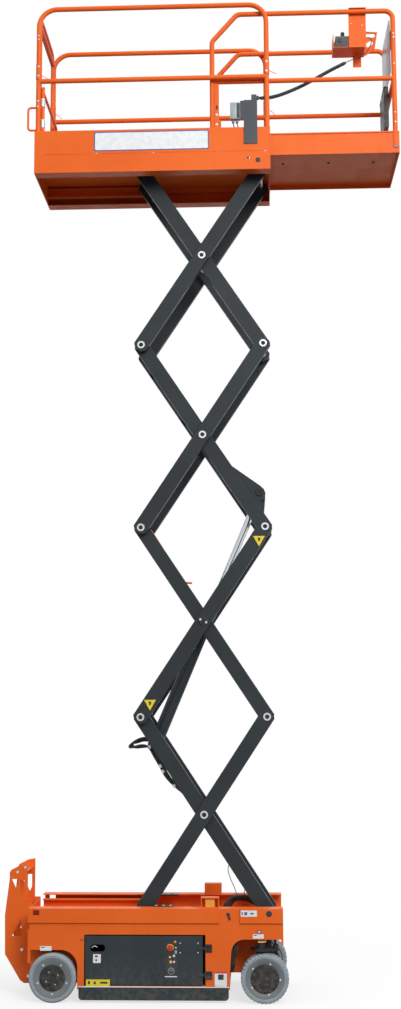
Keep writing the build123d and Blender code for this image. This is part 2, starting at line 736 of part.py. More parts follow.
# --- platform deck -----------------------------------------------------------------
inner_face = deck_half_width - sheet
with BuildPart() as platform_deck:
    # folded side panel with an inward flange below and a narrow lip above
    with BuildSketch(Plane.YZ.offset(deck_rear_x)) as panel_section:
        with BuildLine():
            Polyline(
                (-deck_half_width, panel_bottom_z),
                (-deck_half_width + flange_width, panel_bottom_z),
                (-deck_half_width + flange_width, panel_bottom_z + sheet),
                (-inner_face, panel_bottom_z + sheet),
                (-inner_face, ledge_z),
                (-floor_half_width, ledge_z),
                (-floor_half_width, floor_z),
                (0, floor_z),
                (0, floor_z + deck_sheet),
                (-floor_half_width - deck_sheet, floor_z + deck_sheet),
                (-floor_half_width - deck_sheet, ledge_z + deck_sheet),
                (-inner_face, ledge_z + deck_sheet),
                (-inner_face, panel_top_z - sheet),
                (-deck_half_width + top_lip, panel_top_z - sheet),
                (-deck_half_width + top_lip, panel_top_z),
                (-deck_half_width, panel_top_z),
                close=True,
            )
        make_face()
    extrude(amount=deck_front_x - deck_rear_x)
    # front slide pad for the roll-out deck
    pad_y = (-roll_half_width, -roll_half_width + 6)
    block((deck_front_x - 26, deck_front_x), pad_y, (ledge_z + deck_sheet, roll_panel_bottom_z - seat_gap))
    # channel and pivot lug for the top of the scissor stack
    slide_channel(top_pivot_z, (deck_rear_x + sheet, slide_x + 60), floor_z)
    pivot_lug(pivot_x, top_pivot_z, floor_z, -lug_y - lug_thickness)
    bar_y(pivot_x, top_pivot_z, pin_radius + running_gap, (-300, -200), Mode.SUBTRACT)
    block((315 - 14, 315 + 14), (-380, -360), (5745, 5757), Mode.SUBTRACT)
    bar_y(379, 5735, 14, (-380, -360), Mode.SUBTRACT)
    mirror(about=Plane.XZ)
    block((deck_rear_x, deck_rear_x + sheet), (-inner_face, inner_face), (panel_bottom_z, 5890))
    block((deck_front_x - sheet, deck_front_x), (-inner_face, inner_face), (panel_bottom_z, ledge_z))
    for slot_x in (-1001, -681, -354, -16):
        with BuildSketch(Plane.XY.offset(floor_z)) as floor_slot:
            with Locations((slot_x, 0)):
                SlotOverall(128, 50)
        extrude(amount=deck_sheet, mode=Mode.SUBTRACT)
save(platform_deck, "platform_deck")

# --- main guard rails ----------------------------------------------------------------
gate_x = -1160.0
gate_hinge_y = -345.0
gate_radius = 10.0
gate_post_z = (5992.0, 6308.0)
with BuildPart() as main_rails:
    tube(
        [
            (rear_post_x, -rail_y, panel_top_z),
            (rear_post_x, -rail_y, top_rail_z),
            (front_post_x, -rail_y, top_rail_z),
            (front_post_x, -rail_y, panel_top_z),
        ],
        rail_bend,
        rail_radius,
    )
    tube([(rear_post_x, -rail_y, mid_rail_z), (front_post_x, -rail_y, mid_rail_z)], 0, rail_radius)
    mirror(about=Plane.XZ)
    bar_y(rear_post_x, top_rail_z - rail_bend + 20, rail_radius, (-rail_y, rail_y))
    # lugs that hold the gate's hinge post at its two ends
    for lug_z in ((gate_post_z[0] - 12, gate_post_z[0] - seat_gap), (gate_post_z[1] + seat_gap, gate_post_z[1] + 12)):
        block((rear_post_x, gate_x + 12), (gate_hinge_y - 12, gate_hinge_y + 12), lug_z)
    # grab handle outside the right rear post
    tube(
        [
            (rear_post_x, -rail_y, 6166),
            (rear_post_x - 72, -rail_y, 6166),
            (rear_post_x - 72, -rail_y, 5996),
            (rear_post_x, -rail_y, 5996),
        ],
        22,
        7.5,
    )
save(main_rails, "main_rails")

# --- entry gate ----------------------------------------------------------------------
with BuildPart() as entry_gate:
    tube(
        [
            (gate_x, gate_hinge_y, 6010),
            (gate_x, 322, 6010),
            (gate_x, 322, 6290),
            (gate_x, gate_hinge_y, 6290),
        ],
        60,
        gate_radius,
    )
    post(gate_x, gate_hinge_y, gate_radius + 3, gate_post_z)
save(entry_gate, "entry_gate")

# --- control cord route ----------------------------------------------------------------
curl_radius = 13.5
lead_radius = 4.0
curl_points = [
    (384, -345, 6207), (440, -315, 6216), (520, -290, 6243), (600, -272, 6280), (690, -258, 6325),
    (780, -246, 6378), (870, -236, 6434), (950, -228, 6481), (1030, -220, 6523),
]
lead_points = [
    (1030, -220, 6523), (1094, -213.6, 6556.6), (1168, -205, 6592), (1196, -202, 6636),
    (1212, -200, 6680), (1208, -200, 6712), (1184, -200, 6720), (1161, -200, 6712),
]


def cord_gland(end, towards, radius, length):
    """Add a round gland that meets the cord's end face square on and runs back from it."""
    with BuildSketch(Plane(origin=end, z_dir=Vector(*end) - Vector(*towards))) as collar:
        Circle(radius)
    extrude(collar.sketch, amount=length)


# --- junction box ----------------------------------------------------------------------
with BuildPart() as junction_bracket:
    block((280, 376), (-377, -deck_half_width), (5855, 6180))
    block((255, 280), (-377, -deck_half_width), (6040, 6175))
    block((335, 372), (-372, -338), (6180, 6220))
    block((335, 372), (-377, -371), (6175, 6220))
    cord_gland(curl_points[0], curl_points[1], 15, 24)
save(junction_bracket, "junction_bracket")
with BuildPart() as junction_box:
    block((184, 255), (-377, -334), (6042, 6163))
    fillet(junction_box.edges().filter_by(Axis.Y), 6)
    for x in (205, 232):
        post(x, -354, 7, (6020, 6042))
save(junction_box, "junction_box")

# --- roll-out deck ---------------------------------------------------------------------
with BuildPart() as roll_deck:
    block((roll_rear_x, roll_front_x), (-roll_half_width, 0), (roll_floor_z, roll_floor_z + 5))
    block(
        (roll_rear_x, roll_front_x),
        (-roll_half_width, -roll_half_width + sheet),
        (roll_panel_bottom_z, roll_toe_top_z),
    )
    block(
        (roll_rear_x, roll_front_x - sheet),
        (-roll_half_width, -roll_half_width + roll_toe_size),
        (roll_toe_top_z - roll_toe_size, roll_toe_top_z),
    )
    block(
        (roll_rear_x, roll_rear_x + 40),
        (-roll_half_width, -roll_half_width + sheet),
        (ledge_z + deck_sheet + seat_gap, roll_panel_bottom_z),
    )
    mirror(about=Plane.XZ)
    block(
        (roll_front_x - sheet, roll_front_x),
        (-roll_half_width, roll_half_width),
        (roll_panel_bottom_z, roll_toe_top_z),
    )
save(roll_deck, "roll_deck")

# --- roll-out rails ----------------------------------------------------------------------
with BuildPart() as roll_rails:
    tube(
        [
            (roll_rear_post_x, -roll_rail_y, roll_toe_top_z),
            (roll_rear_post_x, -roll_rail_y, 6656),
            (roll_rear_post_x + 183, -roll_rail_y, roll_top_rail_z),
            (roll_front_post_x, -roll_rail_y, roll_top_rail_z),
            (roll_front_post_x, -roll_rail_y, roll_toe_top_z),
        ],
        60,
        rail_radius,
    )
    rail_ends = (roll_rear_post_x, roll_front_post_x)
    tube([(x, -roll_rail_y, roll_mid_rail_z) for x in rail_ends], 0, rail_radius - 0.5)
    block(
        (roll_rear_post_x + 15, roll_rear_post_x + 48),
        (-roll_rail_y - 16, -roll_rail_y + 16),
        (roll_toe_top_z, 6330),
    )
    mirror(about=Plane.XZ)
    for z in (roll_mid_rail_z, roll_top_rail_z - roll_bend):
        bar_y(roll_front_post_x, z, end_rail_radius, (-roll_rail_y, roll_rail_y))
save(roll_rails, "roll_rails")

with BuildPart() as document_box:
    box_front_x = roll_front_post_x - end_rail_radius - seat_gap
    block((box_front_x - 34, box_front_x), (-60, 240), (6095, 6405))
    fillet(document_box.edges().filter_by(Axis.Y), 6)
save(document_box, "document_box")

# --- platform controls -------------------------------------------------------------------
rail_face_y = -roll_rail_y + rail_radius + seat_gap
rail_top_z = roll_top_rail_z + rail_radius + seat_gap
with BuildPart() as control_guard:
    block((1041, 1165), (rail_face_y, rail_face_y + 4), (6600, rail_top_z + 4))
    block((1041, 1165), (-roll_rail_y - 20, rail_face_y + 4), (rail_top_z, rail_top_z + 4))
    block((928, 1155), (rail_face_y, -130), (6600, 6604))
    block((928, 932), (rail_face_y, -130), (6600, 6700))
    block((1151, 1155), (rail_face_y, -130), (6600, 6740))
    plate_xz(
        [(928, 6600), (1155, 6600), (1240, 6660), (1260, 6790), (1150, 6800), (1080, 6760),
         (980, 6760), (928, 6700)],
        (-134, -130),
    )
    with BuildSketch(Plane.XZ.offset(130)) as grips:
        with Locations((1205, 6765)):
            SlotOverall(80, 30)
        with Locations((1200, 6700)):
            SlotOverall(60, 34, rotation=35)
        with Locations((1045, 6700)):
            RectangleRounded(140, 90, 20)
    extrude(grips.sketch, amount=10, mode=Mode.SUBTRACT)
    block((1080, 1140), (-134, -128), (6525, 6600))
    cord_gland(lead_points[-1], lead_points[-2], 7, 8)
save(control_guard, "control_guard")
with BuildPart() as control_console:
    with BuildSketch(Plane.YZ.offset(945)) as console_side:
        with BuildLine():
            Polyline((-284, 6604), (-140, 6604), (-140, 6650), (-200, 6690), (-284, 6690), close=True)
        make_face()
    extrude(amount=150)
    post(1000, -240, 10, (6690, 6740))
    post(1060, -240, 13, (6690, 6704))
save(control_console, "control_console")

# --- control cord ------------------------------------------------------------------------
def corner_radii(points):
    """Radius of the tangent arc at each inner point: as large as its two runs allow."""
    radii = []
    for before, here, after in zip(points, points[1:], points[2:]):
        run_in = Vector(*here) - Vector(*before)
        run_out = Vector(*after) - Vector(*here)
        half_turn = math.radians(run_in.get_angle(run_out)) / 2
        radii.append(0.45 * min(run_in.length, run_out.length) / math.tan(half_turn))
    return radii


def cord_tube(name, points, radius):
    """Write one stretch of cord as a tube of straight runs and tangent arcs."""
    radii = corner_radii(points)
    with BuildPart() as cord:
        with BuildLine() as route:
            FilletPolyline(*points, radius=radii)
        with BuildSketch(Plane(origin=route.line @ 0, z_dir=route.line % 0)):
            Circle(radius)
        sweep(path=route.line)
    length = sum(edge.length for edge in route.line.edges())
    filled = cord.part.volume / (math.pi * radius ** 2 * length)
    print(name, "radii", [round(r) for r in radii], "length", round(length), "filled", round(filled, 4))
    save(cord, name)


cord_tube("control_cord_curl", curl_points, curl_radius)
cord_tube("control_cord_lead", lead_points, lead_radius)

print("slide travel", round(slide_x - lowered_slide_x), "lowered level", lowered_level_height)
print("cylinder foot", round(foot_x), round(foot_z), "eye", round(eye_x), round(eye_z), round(raised_length))
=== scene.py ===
"""Dresses a raised slab scissor lift: finishes for every solid and the small fittings on them."""

import logging
import math
from dataclasses import dataclass
from enum import Enum
from typing import Dict, List, Optional, Sequence, Tuple

import bpy
from mathutils import Matrix, Vector


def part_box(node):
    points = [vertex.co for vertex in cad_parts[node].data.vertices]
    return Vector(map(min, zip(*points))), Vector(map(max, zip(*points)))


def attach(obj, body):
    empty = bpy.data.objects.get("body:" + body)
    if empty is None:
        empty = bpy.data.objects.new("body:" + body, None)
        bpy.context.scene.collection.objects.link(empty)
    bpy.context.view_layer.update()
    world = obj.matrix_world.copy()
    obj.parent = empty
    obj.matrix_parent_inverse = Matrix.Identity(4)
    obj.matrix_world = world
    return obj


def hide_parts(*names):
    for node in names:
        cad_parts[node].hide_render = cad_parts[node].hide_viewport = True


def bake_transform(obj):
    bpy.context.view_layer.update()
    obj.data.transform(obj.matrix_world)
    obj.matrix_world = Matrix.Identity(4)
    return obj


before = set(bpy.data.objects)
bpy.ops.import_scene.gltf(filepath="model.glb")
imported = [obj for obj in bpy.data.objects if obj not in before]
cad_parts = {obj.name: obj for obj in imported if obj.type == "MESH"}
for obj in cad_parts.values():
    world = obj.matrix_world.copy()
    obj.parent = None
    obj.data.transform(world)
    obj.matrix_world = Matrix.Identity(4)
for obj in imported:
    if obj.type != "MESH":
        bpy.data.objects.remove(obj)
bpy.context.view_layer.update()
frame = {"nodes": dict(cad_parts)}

Point = Tuple[float, float, float]
Colour = Tuple[float, float, float]
Profile = Sequence[Tuple[float, float]]

FILM = 0.0004  # the thickness of printed film, in metres
ROUND_SMOOTH = 32.0  # the angle in degrees under which the faces of a turned piece blend

log = logging.getLogger("scissor_lift")


# --- directions -----------------------------------------------------------------


class Facing(Enum):
    """The way that a fitting looks; its own +Z is turned to that way."""

    RIGHT = "right"
    LEFT = "left"
    FRONT = "front"
    REAR = "rear"
    UP = "up"
    DOWN = "down"

    def turn(self) -> Matrix:
        """Gives the rotation that takes +Z to this way, as a 4 by 4 matrix."""
        quarter = math.pi / 2
        turns = {
            Facing.RIGHT: (quarter, "X"),
            Facing.LEFT: (-quarter, "X"),
            Facing.FRONT: (quarter, "Y"),
            Facing.REAR: (-quarter, "Y"),
            Facing.UP: (0.0, "X"),
            Facing.DOWN: (math.pi, "X"),
        }
        angle, axis = turns[self]
        return Matrix.Rotation(angle, 4, axis)


class Side(Enum):
    """Right is -Y and left is +Y."""

    RIGHT = -1
    LEFT = 1

    @property
    def word(self) -> str:
        """The side's name in node and body names."""
        return self.name.lower()

    @property
    def facing(self) -> Facing:
        """The way that this side looks."""
        return Facing.RIGHT if self is Side.RIGHT else Facing.LEFT

    def at(self, x: float, reach: float, z: float) -> Tuple[float, float, float]:
        """Gives the place on this side that lies a reach away from the machine's middle."""
        return (x, self.value * reach, z)


# --- node layout ----------------------------------------------------------------


class Brush:
    """Lays out the nodes of one procedural material around a Principled shader."""

    def __init__(self, name: str) -> None:
        """Starts an empty material.

        Args:
            name: the material's name.
        """
        self.material = bpy.data.materials.new(name)
        self.material.use_nodes = True
        self.nodes = self.material.node_tree.nodes
        self.links = self.material.node_tree.links
        self.nodes.clear()
        self.output = self.nodes.new("ShaderNodeOutputMaterial")
        self.shader = self.nodes.new("ShaderNodeBsdfPrincipled")
        self.links.new(self.shader.outputs[0], self.output.inputs[0])
        self.place = self.nodes.new("ShaderNodeTexCoord").outputs["Object"]

    def fixed(self, **values: object) -> None:
        """Sets constants on the shader's own sockets, named with underscores for spaces."""
        for name, value in values.items():
            self.shader.inputs[name.replace("_", " ")].default_value = value

    def feed(self, source: object, name: str) -> None:
        """Links a socket to one of the shader's inputs."""
        self.links.new(source, self.shader.inputs[name])

    def math(self, kind: str, first: object, second: object = 0.0) -> object:
        """Adds a Math node.

        Args:
            kind: the operation, such as MULTIPLY.
            first: a socket or a number.
            second: a socket or a number.

        Returns:
            The result's socket.
        """
        node = self.nodes.new("ShaderNodeMath")
        node.operation = kind
        for slot, value in zip(node.inputs, (first, second)):
            if isinstance(value, (int, float)):
                slot.default_value = value
            else:
                self.links.new(value, slot)
        return node.outputs[0]

    def stretched(self, scale: Point) -> object:
        """Gives the object's coordinates scaled along each axis, as a socket."""
        node = self.nodes.new("ShaderNodeMapping")
        node.inputs["Scale"].default_value = scale
        self.links.new(self.place, node.inputs["Vector"])
        return node.outputs[0]

    def noise(self, scale: float, detail: float = 2.0, place: Optional[object] = None) -> object:
        """Adds a noise over the object's coordinates.

        Args:
            scale: cells in a metre.
            detail: octaves of finer noise.
            place: coordinates other than the object's own.

        Returns:
            The noise's value socket.
        """
        node = self.nodes.new("ShaderNodeTexNoise")
        node.inputs["Scale"].default_value = scale
        node.inputs["Detail"].default_value = detail
        self.links.new(place or self.place, node.inputs["Vector"])
        return node.outputs[0]

    def speckle(self, scale: float) -> object:
        """Gives a Voronoi distance over the object's coordinates, as a socket."""
        node = self.nodes.new("ShaderNodeTexVoronoi")
        node.inputs["Scale"].default_value = scale
        self.links.new(self.place, node.inputs["Vector"])
        return node.outputs["Distance"]

    def span(self, value: object, low: float, high: float, to_low: float = 0.0, to_high: float = 1.0) -> object:
        """Maps a value's range to another one, clamped.

        Args:
            value: the socket to map.
            low: the value that gives to_low.
            high: the value that gives to_high.
            to_low: the first result.
            to_high: the last result.

        Returns:
            The mapped value's socket.
        """
        node = self.nodes.new("ShaderNodeMapRange")
        self.links.new(value, node.inputs["Value"])
        for name, number in (("From Min", low), ("From Max", high), ("To Min", to_low), ("To Max", to_high)):
            node.inputs[name].default_value = number
        return node.outputs[0]

    def blend(self, share: object, first: object, second: object) -> object:
        """Mixes two colours.

        Args:
            share: a socket or number, 0 for the first colour and 1 for the second.
            first: a socket or an (r, g, b).
            second: a socket or an (r, g, b).

        Returns:
            The mixed colour's socket.
        """
        node = self.nodes.new("ShaderNodeMix")
        node.data_type = "RGBA"
        for slot, value in ((node.inputs[0], share), (node.inputs[6], first), (node.inputs[7], second)):
            if isinstance(value, (int, float)):
                slot.default_value = value
            elif isinstance(value, tuple):
                slot.default_value = (*value, 1.0)
            else:
                self.links.new(value, slot)
        return node.outputs[2]

    def edges(self, radius: float) -> Tuple[object, object]:
        """Rounds edges in shading and finds where they are.

        Args:
            radius: the rounding in metres.

        Returns:
            The rounded normal's socket, and a mask that is 1 on the edges.
        """
        bevel = self.nodes.new("ShaderNodeBevel")
        bevel.samples = 4
        bevel.inputs["Radius"].default_value = radius
        flat = self.nodes.new("ShaderNodeNewGeometry")
        dot = self.nodes.new("ShaderNodeVectorMath")
        dot.operation = "DOT_PRODUCT"
        self.links.new(bevel.outputs[0], dot.inputs[0])
        self.links.new(flat.outputs["Normal"], dot.inputs[1])
        return bevel.outputs[0], self.span(dot.outputs["Value"], 0.995, 0.85)

    def part(self, axis: str, vector: Optional[object] = None) -> object:
        """Gives the X, Y or Z of a vector, or of the object's own coordinates, as a socket."""
        split = self.nodes.new("ShaderNodeSeparateXYZ")
        self.links.new(vector or self.place, split.inputs[0])
        return split.outputs[axis]

    def upward(self) -> object:
        """Gives a mask that is 1 on faces that look up, as a socket."""
        normal = self.nodes.new("ShaderNodeNewGeometry").outputs["Normal"]
        return self.span(self.part("Z", normal), 0.9, 0.97)

    def relief(self, height: object, depth: float, normal: Optional[object] = None) -> None:
        """Turns a height into a bumped normal and feeds it to the shader.

        Args:
            height: the height's socket, 0 to 1.
            depth: the full height in metres.
            normal: a normal to bump, where there is one.
        """
        node = self.nodes.new("ShaderNodeBump")
        node.inputs["Strength"].default_value = 1.0
        node.inputs["Distance"].default_value = depth
        self.links.new(height, node.inputs["Height"])
        if normal is not None:
            self.links.new(normal, node.inputs["Normal"])
        self.feed(node.outputs[0], "Normal")


# --- finishes -------------------------------------------------------------------


@dataclass(frozen=True)
class Paint:
    """Powder coat on sheet steel: faint orange peel, darker and rougher in patches near the ground, worn thin along
    edges.
    """

    name: str
    colour: Colour
    shade: Colour
    worn: Colour
    roughness: float = 0.4
    wear: float = 0.45
    dust: float = 0.25
    treads: bool = False
    treads_scale: float = 150.0

    def build(self) -> bpy.types.Material:
        """Lays out the finish and returns its material."""
        brush = Brush(self.name)
        normal, edge = brush.edges(0.0022)
        cloud = brush.span(brush.noise(2.3, 3.0), 0.35, 0.68)
        colour = brush.blend(cloud, self.colour, self.shade)
        streak = brush.span(brush.noise(9.0, 4.0, brush.stretched((2.0, 2.0, 0.25))), 0.56, 0.72, 0.0, 0.35)
        colour = brush.blend(streak, colour, self.shade)
        low = brush.span(brush.part("Z"), 0.32, 0.03, 0.0, self.dust)
        grit = brush.math("MULTIPLY", low, brush.span(brush.noise(34.0, 5.0), 0.38, 0.66))
        colour = brush.blend(grit, colour, (0.22, 0.19, 0.16))
        chips = brush.math("MULTIPLY", edge, brush.span(brush.noise(46.0, 4.0), 0.42, 0.6, 0.25, self.wear))
        colour = brush.blend(chips, colour, self.worn)
        brush.feed(colour, "Base Color")
        gloss = brush.span(brush.noise(14.0, 3.0), 0.3, 0.7, self.roughness - 0.05, self.roughness + 0.1)
        brush.feed(brush.math("ADD", gloss, brush.math("MULTIPLY", grit, 0.3)), "Roughness")
        peel = brush.math("MULTIPLY", brush.noise(420.0, 1.0), 0.35)
        if self.treads:
            peel = brush.math("ADD", peel, self.lozenges(brush))
        brush.relief(peel, 0.0011 if self.treads else 0.0004, normal)
        brush.fixed(IOR=1.5, Specular_IOR_Level=0.14)
        return brush.material

    def lozenges(self, brush: Brush) -> object:
        """Gives raised tread lozenges on faces that look up, as a height socket."""
        along = brush.math("MULTIPLY", brush.part("X"), self.treads_scale)
        rows = []
        for turn in (1.0, -1.0):
            across = brush.math("MULTIPLY", brush.part("Y"), self.treads_scale * turn)
            lean = brush.math("SINE", brush.math("ADD", along, across))
            wide = brush.math("SINE", brush.math("MULTIPLY", brush.math("SUBTRACT", along, across), 0.5))
            rows.append(brush.math("MULTIPLY", lean, wide))
        peak = brush.math("MAXIMUM", rows[0], rows[1])
        return brush.math("MULTIPLY", brush.span(peak, 0.55, 0.8), brush.upward())


@dataclass(frozen=True)
class Metal:
    """Bare or plated metal with fine marks drawn along one axis."""

    name: str
    colour: Colour
    roughness: float
    grain: Point = (1.0, 1.0, 1.0)
    marks: float = 260.0
    stain: Colour = (0.2, 0.19, 0.18)
    stained: float = 0.2

    def build(self) -> bpy.types.Material:
        """Lays out the finish and returns its material."""
        brush = Brush(self.name)
        normal, _ = brush.edges(0.001)
        lines = brush.noise(self.marks, 3.0, brush.stretched(self.grain))
        patch = brush.span(brush.noise(22.0, 4.0), 0.5, 0.75, 0.0, self.stained)
        brush.feed(brush.blend(patch, self.colour, self.stain), "Base Color")
        brush.feed(brush.span(lines, 0.25, 0.75, self.roughness * 0.75, self.roughness * 1.35), "Roughness")
        brush.relief(lines, 0.0001, normal)
        brush.fixed(Metallic=1.0)
        return brush.material


@dataclass(frozen=True)
class Moulded:
    """Moulded plastic or rubber with a fine leather-like texture."""

    name: str
    colour: Colour
    shade: Colour
    roughness: float
    texture: float = 700.0
    depth: float = 0.00025
    specular: float = 0.4
    dust: float = 0.15

    def build(self) -> bpy.types.Material:
        """Lays out the finish and returns its material."""
        brush = Brush(self.name)
        normal, edge = brush.edges(0.0012)
        cloud = brush.span(brush.noise(11.0, 4.0), 0.35, 0.7)
        colour = brush.blend(cloud, self.colour, self.shade)
        scuff = brush.math("MULTIPLY", edge, brush.span(brush.noise(60.0, 3.0), 0.4, 0.62, 0.1, 0.4))
        pale = tuple(min(1.0, channel * 1.8 + 0.03) for channel in self.colour)
        colour = brush.blend(scuff, colour, pale)
        film = brush.span(brush.noise(27.0, 5.0), 0.45, 0.8, 0.0, self.dust)
        colour = brush.blend(film, colour, (0.3, 0.28, 0.25))
        brush.feed(colour, "Base Color")
        brush.feed(brush.span(cloud, 0.0, 1.0, self.roughness - 0.06, self.roughness + 0.08), "Roughness")
        brush.relief(brush.speckle(self.texture), self.depth, normal)
        brush.fixed(IOR=1.48, Specular_IOR_Level=self.specular)
        return brush.material


@dataclass(frozen=True)
class Film:
    """Printed vinyl film: one plain colour, slightly aged and a little uneven."""

    name: str
    colour: Colour

    def build(self) -> bpy.types.Material:
        """Lays out the finish and returns its material."""
        brush = Brush(self.name)
        aged = tuple(channel * 0.86 for channel in self.colour)
        colour = brush.blend(brush.span(brush.noise(30.0, 4.0), 0.4, 0.75), self.colour, aged)
        brush.feed(colour, "Base Color")
        brush.feed(brush.span(brush.noise(90.0, 2.0), 0.3, 0.7, 0.28, 0.42), "Roughness")
        brush.relief(brush.noise(150.0, 2.0), 0.0001)
        brush.fixed(Coat_Weight=0.2, Coat_Roughness=0.2)
        return brush.material


@dataclass(frozen=True)
class Lens:
    """Clear coloured plastic over a lamp, with fine upright flutes."""

    name: str
    colour: Colour
    deep: Colour
    flutes_scale: float = 900.0

    def build(self) -> bpy.types.Material:
        """Lays out the finish and returns its material."""
        brush = Brush(self.name)
        flutes = brush.math("SINE", brush.math("MULTIPLY", brush.part("X"), self.flutes_scale))
        colour = brush.blend(brush.span(flutes, -1.0, 1.0, 0.0, 0.45), self.colour, self.deep)
        brush.feed(brush.blend(brush.span(brush.noise(40.0), 0.3, 0.7, 0.0, 0.2), colour, self.deep), "Base Color")
        brush.feed(brush.span(brush.noise(80.0), 0.3, 0.7, 0.1, 0.2), "Roughness")
        brush.relief(brush.span(flutes, -1.0, 1.0), 0.0006)
        brush.fixed(Transmission_Weight=0.25, IOR=1.45, Coat_Weight=0.5, Coat_Roughness=0.08)
        brush.fixed(Emission_Color=(1.0, 0.42, 0.02, 1.0), Emission_Strength=0.12)
        return brush.material


class Palette:
    """Every finish on the machine, each built once when it is first asked for."""

    ORANGE = ((0.82, 0.142, 0.020), (0.76, 0.122, 0.016), (0.88, 0.30, 0.12))
    FINISHES = (
        Paint("orange_powder_coat", *ORANGE),
        Paint("orange_deck_coat", *ORANGE, treads=True),
        Paint("charcoal_powder_coat", (0.034, 0.041, 0.045), (0.026, 0.031, 0.035), (0.13, 0.145, 0.15), 0.38),
        Paint("door_coat", (0.037, 0.047, 0.052), (0.029, 0.036, 0.041), (0.14, 0.155, 0.165), 0.36),
        Paint("black_running_gear", (0.022, 0.023, 0.025), (0.035, 0.034, 0.033), (0.09, 0.085, 0.08), 0.5, dust=0.5),
        Paint("rim_coat", (0.20, 0.225, 0.235), (0.16, 0.18, 0.19), (0.42, 0.44, 0.45), 0.42, dust=0.35),
        Paint("bracket_coat", (0.088, 0.094, 0.103), (0.07, 0.075, 0.083), (0.2, 0.21, 0.22), 0.45),
        Metal("bright_steel", (0.60, 0.61, 0.62), 0.32),
        Metal("zinc_plate", (0.52, 0.53, 0.54), 0.38, (1.0, 1.0, 1.0), 180.0, (0.4, 0.38, 0.33), 0.35),
        Metal("chrome_rod", (0.58, 0.60, 0.63), 0.16, (1.0, 1.0, 0.1), 500.0, (0.5, 0.5, 0.52), 0.1),
        Metal("brass", (0.62, 0.42, 0.14), 0.3),
        Moulded("grey_tyre", (0.33, 0.375, 0.40), (0.28, 0.32, 0.34), 0.72, 420.0, 0.0005, 0.25, 0.12),
        Moulded("black_plastic", (0.016, 0.017, 0.019), (0.024, 0.025, 0.027), 0.45),
        Moulded("black_rubber", (0.012, 0.012, 0.013), (0.022, 0.022, 0.023), 0.6, 300.0, 0.0004),
        Moulded("grey_plastic", (0.34, 0.39, 0.395), (0.29, 0.33, 0.34), 0.42),
        Moulded("console_plastic", (0.045, 0.048, 0.052), (0.034, 0.036, 0.04), 0.5),
        Moulded("battery_case", (0.03, 0.032, 0.035), (0.045, 0.045, 0.047), 0.55, 500.0, 0.0004, 0.35, 0.35),
        Moulded("cord_jacket", (0.022, 0.032, 0.045), (0.016, 0.022, 0.032), 0.42, 900.0, 0.0001, 0.5, 0.08),
        Moulded("red_plastic", (0.62, 0.03, 0.02), (0.5, 0.02, 0.015), 0.32),
        Moulded("yellow_plastic", (0.72, 0.5, 0.02), (0.62, 0.42, 0.02), 0.4),
        Moulded("lamp_orange", (0.85, 0.33, 0.03), (0.75, 0.25, 0.02), 0.3),
        Moulded("window_sheet", (0.42, 0.47, 0.52), (0.34, 0.39, 0.45), 0.3, 240.0, 0.0003),
        Film("white_film", (0.78, 0.80, 0.82)),
        Film("yellow_film", (0.78, 0.60, 0.01)),
        Film("blue_film", (0.05, 0.09, 0.27)),
        Film("black_film", (0.012, 0.012, 0.013)),
        Film("red_film", (0.66, 0.035, 0.03)),
        Lens("amber_lens", (0.90, 0.40, 0.02), (0.62, 0.16, 0.01)),
    )

    def __init__(self) -> None:
        """Starts with no material built."""
        self.recipes = {finish.name: finish for finish in self.FINISHES}
        self.made: Dict[str, bpy.types.Material] = {}

    def get(self, name: str) -> bpy.types.Material:
        """Returns the named finish's material."""
        if name not in self.made:
            self.made[name] = self.recipes[name].build()
        return self.made[name]


# --- shaping --------------------------------------------------------------------


